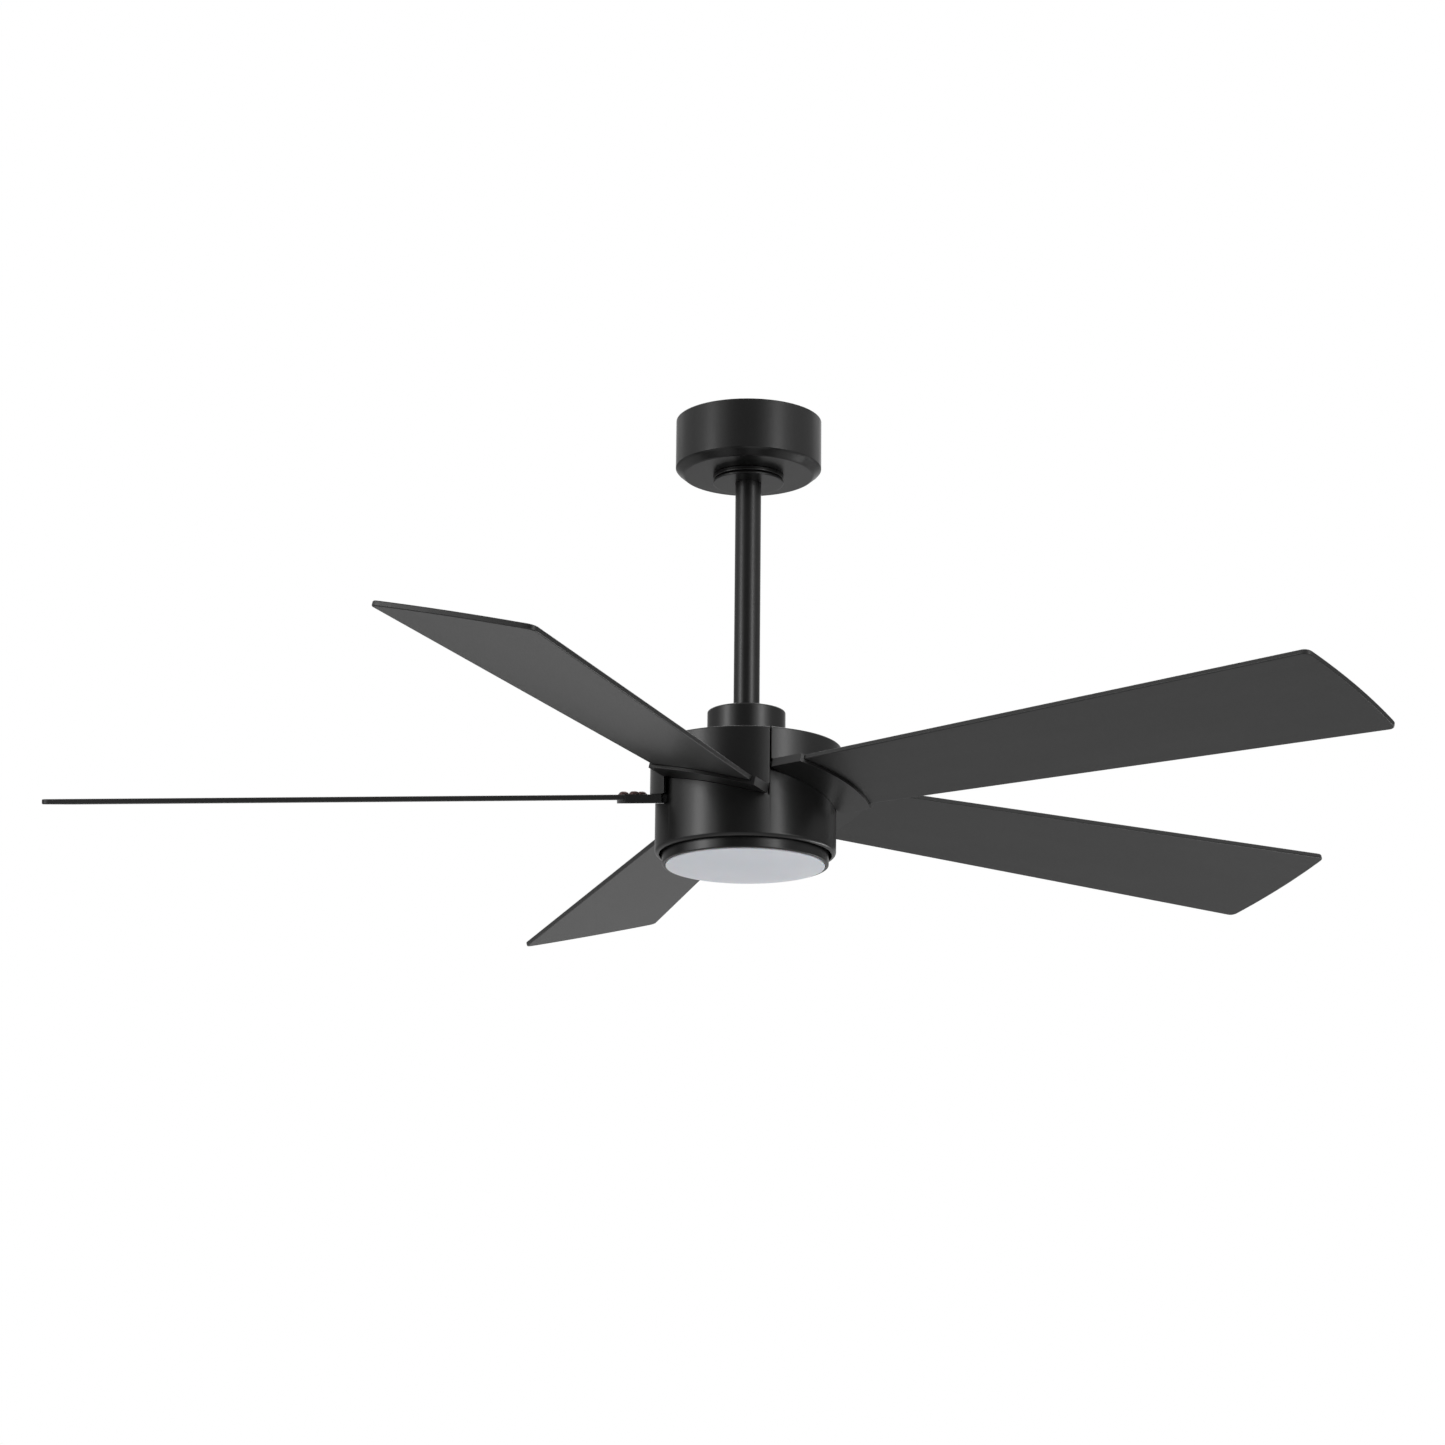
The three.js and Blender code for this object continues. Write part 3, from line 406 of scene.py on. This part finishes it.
def make_receiver():
    """The remote control's receiver: a vented plastic box between two mounting ears."""
    low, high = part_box("receiver_module")
    ear, ear_half_width, ear_thickness = 6 * MM, 10 * MM, 2 * MM
    bm = bmesh.new()
    rounded_box(bm, low + Vector((0, ear, 0)), high - Vector((0, ear, 0)), 4 * MM)
    box = mesh_of(bm, "receiver_box")
    bm = bmesh.new()
    ears_low = Vector((-ear_half_width, low.y, low.z))
    ears_high = Vector((ear_half_width, high.y, low.z + ear_thickness))
    rounded_box(bm, ears_low, ears_high, 3 * MM)
    ears = mesh_of(bm, "receiver_ears")

    vent_count, vent_spacing, vents_middle = 7, 5, 18 * MM
    vent_half_length, vent_half_width, vent_depth = 14 * MM, 1 * MM, 1.2 * MM
    cutter_size = Vector((2 * vent_half_length, 2 * vent_half_width, 3 * MM))
    vents = []
    for i in range(vent_count):
        bm = bmesh.new()
        y = (i - vent_count // 2) * vent_spacing * MM + vents_middle
        start = Vector((-vent_half_length, y - vent_half_width, high.z - vent_depth))
        rounded_box(bm, start, start + cutter_size, 0.9 * MM)
        vents.append(mesh_of(bm, "vent"))
    mesh = joined("receiver_skin", joined("receiver_body", box, [ears], "UNION"), vents)
    add_piece("receiver_skin", mesh, "ceiling_mount", BLACK_PLASTIC, ["receiver_module"],
              edge=0.5 * MM)


def make_canopy_cover():
    top, bottom = top_of("canopy_bottom_cover"), bottom_of("canopy_bottom_cover")
    hole, wall = 16 * MM, 1.3 * MM
    corners = [
        (COVER_RADIUS, top, 0.3 * MM), (COVER_RADIUS, bottom, 0.9 * MM),
        (hole, bottom, 0.5 * MM), (hole, bottom + wall, 0.3 * MM),
        (COVER_RADIUS - wall, bottom + wall, 0.5 * MM), (COVER_RADIUS - wall, top, 0.3 * MM),
    ]
    mesh = turned("canopy_cover_skin", corners)
    add_piece("canopy_cover_skin", mesh, "ceiling_mount", BLACK_METAL, ["canopy_bottom_cover"])


def make_trim_ring():
    top, bottom, hole = top_of("rod_trim_ring"), bottom_of("rod_trim_ring"), ROD_RADIUS + 0.1 * MM
    corners = [
        (hole, top, 0.3 * MM), (COVER_RADIUS, top, 0.6 * MM),
        (COVER_RADIUS, bottom, 0.8 * MM), (hole, bottom, 0.5 * MM),
    ]
    mesh = turned("trim_ring_skin", corners)
    add_piece("trim_ring_skin", mesh, "downrod", BLACK_METAL, ["rod_trim_ring"])


def make_downrod():
    top, bottom, bore, edge = top_of("downrod"), bottom_of("downrod"), ROD_RADIUS - ROD_WALL, 0.5 * MM
    corners = [(ROD_RADIUS, top, edge), (ROD_RADIUS, bottom, edge), (bore, bottom, edge), (bore, top, edge)]
    mesh = turned("downrod_skin", corners)
    add_piece("downrod_skin", mesh, "downrod", BLACK_METAL, ["downrod"])


def make_coupling_cover():
    top, bottom = top_of("coupling_cover"), bottom_of("coupling_cover")
    wall, hole = 1.4 * MM, ROD_RADIUS + 0.5 * MM
    corners = [
        (hole, top, 0.5 * MM), (COLLAR_RADIUS, top, 1.5 * MM), (COLLAR_RADIUS, bottom, 0.5 * MM),
        (COLLAR_RADIUS - wall, bottom, 0.4 * MM), (COLLAR_RADIUS - wall, top - wall, 0.8 * MM),
        (hole, top - wall, 0.4 * MM),
    ]
    mesh = turned("coupling_cover_skin", corners)
    add_piece("coupling_cover_skin", mesh, "coupling_cover", BLACK_METAL, ["coupling_cover"])


# ---------------------------------------------------------------- rotating housing

WALL_START = SLOT - SECTOR / 2  # measured from its blade, a sector's wall runs from here to SECTOR / 2
SLOT_MIDDLE = (SLOT - SECTOR) / 2
CHANNEL_BOTTOM = -440 * MM
CHANNEL_TOP = -357 * MM
EDGE = 0.5 * MM  # rounding of a wall's upright ends
LOW_CORNER = 3 * MM  # rounding of a wall's lowest corner
UPPER_GAP = BLADE_THICKNESS + 0.3 * MM  # the walls end this far from the plane of a blade's underside
LOWER_GAP = -TRAY_FLOOR - 0.3 * MM


def blade_direction(index):
    return FIRST_BLADE + index * SECTOR


def plane_height(offset, radius, angle):
    """Height of the plane at that offset above a blade's underside, at an angle from the blade."""
    return BLADE_PLANE + (offset - radius * math.sin(angle) * math.sin(PITCH)) / math.cos(PITCH)


def rounding(distance, radius):
    """How far an outline draws back near an end that is rounded to that radius."""
    if distance >= radius:
        return 0
    return radius - math.sqrt(radius ** 2 - (radius - distance) ** 2)


def wall_stations(length):
    """Places along a wall, close together in its rounded ends."""
    end_steps, middle_steps = 6, 46
    turns = [math.pi / 2 * i / end_steps for i in range(end_steps + 1)]
    near = [radius * (1 - math.cos(turn)) for radius in (EDGE, LOW_CORNER) for turn in turns]
    along = [LOW_CORNER + (length - 2 * LOW_CORNER) * i / middle_steps for i in range(1, middle_steps)]
    places = sorted(near + along + [length - distance for distance in near])
    return [place for i, place in enumerate(places) if i == 0 or place - places[i - 1] > WELD]


def upper_wall_section(angle, inset, lift):
    """The wall's outline at an angle from its blade, drawn in by inset and raised by lift near its ends."""
    top = top_of("upper_housing")
    outer, inner = UPPER_RADIUS - inset, UPPER_RADIUS - UPPER_WALL + inset
    return rounded([
        (UPPER_RIM, top - inset, 0), (outer, top - inset, 1.2 * MM),
        (outer, plane_height(UPPER_GAP, outer, angle) + inset + lift, 0.4 * MM),
        (inner, plane_height(UPPER_GAP, inner, angle) + inset + lift, 0.4 * MM),
        (inner, top - UPPER_PLATE, 0), (UPPER_RIM, top - UPPER_PLATE, 0),
    ])


def make_upper_housing():
    """A top plate and five walls, whose lower edges slope with the blades under them."""
    bm = bmesh.new()
    top, hole, edge = top_of("upper_housing"), 24 * MM, 0.5 * MM
    add_turned(bm, [(hole, top, edge), (UPPER_RIM, top, 0),
                    (UPPER_RIM, top - UPPER_PLATE, 0), (hole, top - UPPER_PLATE, edge)])
    length = (SECTOR / 2 - WALL_START) * UPPER_RADIUS
    for index in range(BLADES):
        columns = []
        for place in wall_stations(length):
            angle = WALL_START + place / UPPER_RADIUS
            inset = rounding(min(place, length - place), EDGE)
            lift = rounding(length - place, LOW_CORNER)
            azimuth = blade_direction(index) + angle
            columns.append([polar(r, azimuth, z) for r, z in upper_wall_section(angle, inset, lift)])
        add_skin(bm, columns, closed=False)
    mesh = mesh_of(bm, "upper_housing_skin")
    add_piece("upper_housing_skin", mesh, "rotor", BLACK_METAL, ["upper_housing"])


def lower_wall_section(top):
    bottom, lip, inner = bottom_of("lower_housing"), LOWER_RADIUS - LOWER_LIP, LOWER_RADIUS - LOWER_WALL
    return rounded([
        (LOWER_RADIUS, top, 0), (LOWER_RADIUS, bottom, 3.8 * MM), (lip, bottom, 0.6 * MM),
        (lip, bottom + 2.2 * MM, 0.4 * MM), (inner, bottom + LOWER_LIP, 0.4 * MM), (inner, top, 0),
    ])


def make_lower_housing():
    """The drum, a flange inside it, and a channel behind each slot."""
    bm = bmesh.new()
    hair = 0.02 * MM / LOWER_RADIUS  # keeps the slot's ends apart from the wall's
    wall_steps = 60
    step = (SECTOR / 2 - WALL_START) / wall_steps
    slot_bottom = plane_height(LOWER_GAP, LOWER_RADIUS, SECTOR / 2)
    wall_columns, flange_columns = [], []
    for index in range(BLADES):
        stations = [(angle, True) for angle in (-SECTOR / 2 + hair, SLOT_MIDDLE, WALL_START - hair)]
        stations += [(WALL_START + i * step, False) for i in range(wall_steps + 1)]
        for angle, in_slot in stations:
            azimuth = blade_direction(index) + angle
            top = slot_bottom if in_slot else plane_height(LOWER_GAP, LOWER_RADIUS, angle)
            edge = SLOT_FLOOR_RADIUS if in_slot else LOWER_RADIUS - LOWER_WALL
            wall_columns.append([polar(r, azimuth, z) for r, z in lower_wall_section(top)])
            flange_columns.append([polar(r, azimuth, z) for r, z in flange_section(edge)])
    add_skin(bm, wall_columns, closed=True)
    add_skin(bm, flange_columns, closed=True)
    for index in range(BLADES):
        turn = Matrix.Rotation(blade_direction(index) + SLOT_MIDDLE, 4, "Z")
        add_prism(bm, channel_outline(), CHANNEL_BOTTOM, CHANNEL_TOP, turn)
    mesh = mesh_of(bm, "lower_housing_skin")
    add_piece("lower_housing_skin", mesh, "rotor", BLACK_METAL, ["lower_housing"],
              edge=0.45 * MM)


def flange_section(edge):
    """The flange inside the drum, out to the radius edge."""
    top, bottom, hole = -418.8 * MM, -421.3 * MM, 64 * MM
    return [(hole, top), (edge, top), (edge, bottom), (hole, bottom)]


def channel_outline():
    back, front, half, mouth = 84.5 * MM, 91 * MM, 4.5 * MM, UPPER_RADIUS * SLOT / 2
    return [(back, -half), (front, -half), (front, -mouth), (SLOT_FLOOR_RADIUS, -mouth),
            (SLOT_FLOOR_RADIUS, mouth), (front, mouth), (front, half), (back, half)]


# ---------------------------------------------------------------- blades, brackets and screws

def blade_place(index):
    turn = Matrix.Rotation(blade_direction(index), 4, "Z")
    return turn @ Matrix.Translation((0, 0, BLADE_PLANE)) @ Matrix.Rotation(-PITCH, 4, "X")


def tray_outline():
    spread = math.asin(TRAY_HALF_WIDTH / TRAY_RADIUS)
    neck = math.asin(NECK_HALF_WIDTH / NECK_RADIUS)
    return [
        Vector((TRAY_INNER_X, -TRAY_HALF_WIDTH)), *arc_points(TRAY_RADIUS, -spread, spread, 60),
        Vector((TRAY_INNER_X, TRAY_HALF_WIDTH)), Vector((TRAY_INNER_X, NECK_HALF_WIDTH)),
        *arc_points(NECK_RADIUS, neck, -neck, 40), Vector((TRAY_INNER_X, -NECK_HALF_WIDTH)),
    ]


def pocket_outline():
    half, radius = ROOT_HALF_WIDTH + POCKET_GAP, ROOT_ARC_RADIUS - 2 * POCKET_GAP
    outside = TRAY_RADIUS + 5 * MM
    spread = math.asin(half / radius)
    return [Vector((outside, -half)), Vector((outside, half)), *arc_points(radius, spread, -spread, 50)]


def make_bracket_mesh():
    tray = prism("bracket_tray", tray_outline(), -TRAY_FLOOR, BLADE_THICKNESS)
    pocket = prism("bracket_pocket", pocket_outline(), -POCKET_GAP, BLADE_THICKNESS + 5 * MM)
    return joined("blade_bracket_skin", tray, [pocket])


def blade_outline():
    spread = math.asin(ROOT_HALF_WIDTH / ROOT_ARC_RADIUS)
    high_turn = math.asin(TIP_HIGH_EDGE / TIP_RADIUS)
    low_turn = math.asin(TIP_LOW_EDGE / TIP_RADIUS)
    high_tip, low_tip = polar(TIP_RADIUS, high_turn, 0).xy, polar(TIP_RADIUS, low_turn, 0).xy
    high_flare = Vector((FLARE_START, -ROOT_HALF_WIDTH))
    low_flare = Vector((FLARE_START, ROOT_HALF_WIDTH))
    margin = 1.2 * TIP_FILLET / TIP_RADIUS
    tip_arc = arc_points(TIP_RADIUS, high_turn + margin, low_turn - margin, 40)
    high_corner = fillet(high_flare, high_tip, tip_arc[0], TIP_FILLET)
    low_corner = fillet(tip_arc[-1], low_tip, low_flare, TIP_FILLET)
    return [high_flare, *high_corner, *tip_arc[1:-1], *low_corner, low_flare,
            *arc_points(ROOT_ARC_RADIUS, spread, -spread, 40)]


def make_screw_mesh():
    """A domed pan head on a thin washer flange, with a cross recess."""
    base = BLADE_THICKNESS + 0.05 * MM
    washer, head, height = 5.8 * MM, 5.0 * MM, 3.6 * MM
    bm = bmesh.new()
    add_turned(bm, [
        (0, base, 0),
        (washer, base, 0.2 * MM),
        (washer, base + 0.8 * MM, 0.3 * MM),
        (head, base + 0.9 * MM, 0.2 * MM),
        (head - 0.2 * MM, base + 1.8 * MM, 0.6 * MM),
        (head - 1.9 * MM, base + height - 0.5 * MM, 1.2 * MM),
        (0, base + height, 0),
    ], steps=48)
    screw = mesh_of(bm, "blade_screw_skin")
    crown = base + height
    reach, half, depth = 2.6 * MM, 0.45 * MM, 1.5 * MM
    bars = []
    for x, y in ((reach, half), (half, reach)):
        bars.append(prism("recess", [(-x, -y), (x, -y), (x, y), (-x, y)], crown - depth, crown + depth))
    return joined("blade_screw_skin", screw, bars)


def lay_grain(mesh):
    """A texture layout in metres, with the blade's length along U."""
    layout = mesh.uv_layers.new(name="grain")
    for corner, loop in zip(layout.data, mesh.loops):
        corner.uv = mesh.vertices[loop.vertex_index].co.xy


def placed(mesh, place):
    """A copy of the mesh, moved to its place."""
    copy = mesh.copy()
    copy.transform(place)
    return copy


def make_blades():
    bracket = make_bracket_mesh()
    blade = prism("blade_skin", blade_outline(), 0, BLADE_THICKNESS)
    lay_grain(blade)
    screw = make_screw_mesh()
    for index in range(BLADES):
        number = index + 1
        place = blade_place(index)
        add_piece(f"blade_bracket_{number}_skin", placed(bracket, place), "rotor", BLACK_METAL,
                  [f"blade_bracket_{number}"], edge=0.8 * MM)
        add_piece(f"blade_{number}_skin", placed(blade, place), "rotor", BLACK_BLADE,
                  [f"blade_{number}"], edge=1.2 * MM)
        for spot, (x, y) in enumerate(BLADE_SCREWS, start=1):
            spun = Matrix.Rotation(0.7 * index + 1.3 * spot, 4, "Z")
            seat = place @ Matrix.Translation((x, y, 0)) @ spun
            add_piece(f"blade_screw_{number}_{spot}_skin", placed(screw, seat), "rotor", BROWN_SCREW,
                      [f"blade_screw_{number}_{spot}"])


# ---------------------------------------------------------------- light

def make_light_ring():
    top, bottom = top_of("light_ring"), bottom_of("light_ring")
    inner, lip, ledge, flange = RING_RADIUS - 2 * MM, DIFFUSER_RADIUS + 0.6 * MM, bottom + 4 * MM, 69 * MM
    thickness = 2.4 * MM
    corners = [
        (RING_RADIUS, top, 0.4 * MM), (RING_RADIUS, bottom, 1.3 * MM),
        (lip, bottom, 0.3 * MM), (lip, ledge, 0.2 * MM),
        (inner, ledge, 0.2 * MM), (inner, top - thickness, 0.5 * MM),
        (flange, top - thickness, 0.4 * MM), (flange, top, 0.4 * MM),
    ]
    mesh = turned("light_ring_skin", corners)
    add_piece("light_ring_skin", mesh, "downrod", BLACK_METAL, ["light_ring"])


def make_diffuser():
    """A shallow dome with a straight collar that goes up into the ring."""
    bottom, top = bottom_of("diffuser"), top_of("diffuser")
    rim_height = bottom + 7.5 * MM
    collar, wall, collar_step = 79.8 * MM, 2 * MM, rim_height + 4.3 * MM
    flatness = 2.4  # 2 would be a parabola
    outer, inner = [], []
    steps = 24
    for i in range(steps + 1):
        share = i / steps
        drop = (rim_height - bottom) * (1 - share ** flatness)
        edge = 0.5 * MM if i == steps else 0
        outer.append((DIFFUSER_RADIUS * share, rim_height - drop, edge))
        inner.append(((collar - wall) * share, rim_height - drop + wall, 0))
    corners = [
        *outer, (DIFFUSER_RADIUS, collar_step, 0.4 * MM), (collar, collar_step, 0.3 * MM),
        (collar, top, 0.4 * MM), (collar - wall, top, 0.4 * MM), *reversed(inner),
    ]
    mesh = turned("diffuser_skin", corners)
    add_piece("diffuser_skin", mesh, "diffuser", FROSTED_WHITE, ["diffuser"])


# ---------------------------------------------------------------- inner parts, as the frame has them

INNER_FINISHES = {
    ZINC_STEEL: ["hanger_bracket", "canopy_screw_1", "canopy_screw_2", "ball_cross_pin", "clevis_pin",
                 "hairpin_clip", "yoke_set_screw_1", "yoke_set_screw_2", "motor_shaft", "upper_bearing",
                 "lower_bearing", "light_mount_plate", "shaft_nut", "light_screw_1", "light_screw_2"],
    CAST_ALUMINIUM: ["rod_yoke", "rotor_top_case", "rotor_bottom_case"],
    SILICON_STEEL: ["stator_core"],
    COPPER: ["stator_winding"],
    FERRITE: ["magnet_ring"],
    WHITE_PLASTIC: ["led_driver", "led_board"],
    LEAD_SLEEVE: ["lead_bundle"],
}
INNER_EDGE = 0.35 * MM


def finish_inner_parts():
    for material, names in INNER_FINISHES.items():
        for name in names:
            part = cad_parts[name]
            part.data.materials.clear()
            part.data.materials.append(material)
            round_edges(part, INNER_EDGE)


# ---------------------------------------------------------------- floor, light and camera

FLOOR_HEIGHT = -4.4
FLOOR_RADIUS = 20.0
FLOOR_SIDES = 96


def make_floor():
    bm = bmesh.new()
    rim = arc_points(FLOOR_RADIUS, 0, 2 * math.pi * (1 - 1 / FLOOR_SIDES), FLOOR_SIDES - 1)
    add_prism(bm, rim, FLOOR_HEIGHT - 20 * MM, FLOOR_HEIGHT)
    floor = bpy.data.objects.new("floor", mesh_of(bm, "floor"))
    bpy.context.scene.collection.objects.link(floor)
    floor.data.materials.append(surface("pale_floor", grey(0.83, 0.85), (0.6, 0.75), clouds=1.5, fine=60,
                                        relief=0.1 * MM))


def make_panel(name, azimuth, elevation, distance, size, power):
    """A soft light that faces the fan's hub from that direction, in degrees."""
    light = bpy.data.lights.new(name, "AREA")
    light.shape = "RECTANGLE"
    light.size, light.size_y = size
    light.energy = power
    lamp = bpy.data.objects.new(name, light)
    bpy.context.scene.collection.objects.link(lamp)
    turn, rise = math.radians(azimuth), math.radians(elevation)
    away = Vector((math.cos(turn) * math.cos(rise), math.sin(turn) * math.cos(rise), math.sin(rise)))
    lamp.location = Vector((0, 0, BLADE_PLANE)) + away * distance
    lamp.rotation_mode = "QUATERNION"
    lamp.rotation_quaternion = away.to_track_quat("Z", "Y")
    lamp.visible_camera = False


BEHIND = math.radians(86)
# Brightness of the surround: from straight in front, 0, to straight behind, 1, then from below to above.
AROUND = [(0.0, 0.09), (0.15, 0.2), (0.42, 0.38), (0.64, 0.3), (0.78, 0.2), (0.93, 0.26), (1.0, 0.68)]
UPWARD = [(0.0, 0.4), (0.18, 0.4), (0.36, 1.0), (0.6, 1.0), (0.7, 1.7), (0.82, 0.3), (1.0, 0.2)]


def brightness(tree, source, output, stops):
    """A grey for each value from -1 to 1, from stops placed at 0 to 1."""
    share = node(tree, "ShaderNodeMapRange", **{"From Min": -1.0, "From Max": 1.0})
    link(tree, source, output, share, "Value")
    made = tree.nodes.new("ShaderNodeValToRGB")
    made.color_ramp.interpolation = "EASE"
    elements = made.color_ramp.elements
    while len(elements) < len(stops):
        elements.new(0.5)
    for element, (place, value) in zip(elements, stops):
        element.position = place
        element.color = (value, value, value, 1)
    link(tree, share, "Result", made, "Fac")
    return made


def vector_node(tree, operation, source, output, other=(0, 0, 0)):
    made = tree.nodes.new("ShaderNodeVectorMath")
    made.operation = operation
    made.inputs[1].default_value = other
    link(tree, source, output, made, 0)
    return made


def make_studio():
    """White to the camera. What the fan reflects is bright straight behind it and dark in front."""
    world = bpy.data.worlds.new("studio")
    bpy.context.scene.world = world
    world.use_nodes = True
    tree = world.node_tree
    tree.nodes.clear()
    output = tree.nodes.new("ShaderNodeOutputWorld")
    choose = tree.nodes.new("ShaderNodeMixShader")
    rays = tree.nodes.new("ShaderNodeLightPath")
    backdrop = node(tree, "ShaderNodeBackground", Color=(1, 1, 1, 1), Strength=1.0)
    ambient = tree.nodes.new("ShaderNodeBackground")
    link(tree, rays, "Is Camera Ray", choose, 0)
    link(tree, ambient, "Background", choose, 1)
    link(tree, backdrop, "Background", choose, 2)
    link(tree, choose, "Shader", output, "Surface")

    direction = tree.nodes.new("ShaderNodeTexCoord")
    level = vector_node(tree, "MULTIPLY", direction, "Generated", (1, 1, 0))
    heading = vector_node(tree, "NORMALIZE", level, "Vector")
    behind = (math.cos(BEHIND), math.sin(BEHIND), 0)
    across = vector_node(tree, "DOT_PRODUCT", heading, "Vector", behind)
    rising = tree.nodes.new("ShaderNodeSeparateXYZ")
    link(tree, direction, "Generated", rising, "Vector")
    link(tree, brightness(tree, across, "Value", AROUND), "Color", ambient, "Color")
    link(tree, brightness(tree, rising, "Z", UPWARD), "Color", ambient, "Strength")


LEFT, RIGHT = 210, 315
STREAK_ELEVATION = 6.4
STREAK_HEIGHT = 1.85


def make_lights():
    """Panels in front that streak the round parts, one for the edges, and two above for tops and floor."""
    for name, azimuth, wide_power, narrow_power in (("left", LEFT, 20, 19), ("right", RIGHT, 23, 20)):
        make_panel(f"{name}_wide", azimuth, STREAK_ELEVATION, distance=3.7,
                   size=(3.3, STREAK_HEIGHT), power=wide_power)
        make_panel(f"{name}_narrow", azimuth, STREAK_ELEVATION, distance=3.3,
                   size=(0.9, STREAK_HEIGHT), power=narrow_power)
    make_panel("edge_light", azimuth=36, elevation=-33, distance=3.2, size=(0.8, 1.5), power=18)
    make_panel("top_light", azimuth=80, elevation=55, distance=3.6, size=(1.6, 1.6), power=40)
    make_panel("high_light", azimuth=90, elevation=90, distance=6.4, size=(26, 26), power=1300)


CAMERA_PLACE = (0, -3.8437, -1.3376)
CAMERA_TURN, CAMERA_TILT, CAMERA_ROLL = 0.364, 14.761, -0.569  # degrees
FOCAL_LENGTH = 96.9  # millimetres, on a 36 mm sensor


def make_camera():
    """The photo's viewpoint: in front of the fan and below it, looking up."""
    data = bpy.data.cameras.new("camera")
    data.sensor_width = 36
    data.lens = FOCAL_LENGTH
    camera = bpy.data.objects.new("camera", data)
    bpy.context.scene.collection.objects.link(camera)
    aim = Matrix.Identity(4)
    for angle, axis in ((CAMERA_TURN, "Z"), (CAMERA_TILT, "X"), (CAMERA_ROLL, "Y"), (90, "X")):
        aim = aim @ Matrix.Rotation(math.radians(angle), 4, axis)
    camera.matrix_world = Matrix.Translation(CAMERA_PLACE) @ aim
    bpy.context.scene.camera = camera


# ---------------------------------------------------------------- put together

make_canopy()
make_receiver()
make_hanger_ball()
make_canopy_cover()
make_trim_ring()
make_downrod()
make_coupling_cover()
make_upper_housing()
make_lower_housing()
make_blades()
make_light_ring()
make_diffuser()
finish_inner_parts()

make_floor()
make_studio()
make_lights()
make_camera()
bpy.context.scene.view_settings.view_transform = "Standard"
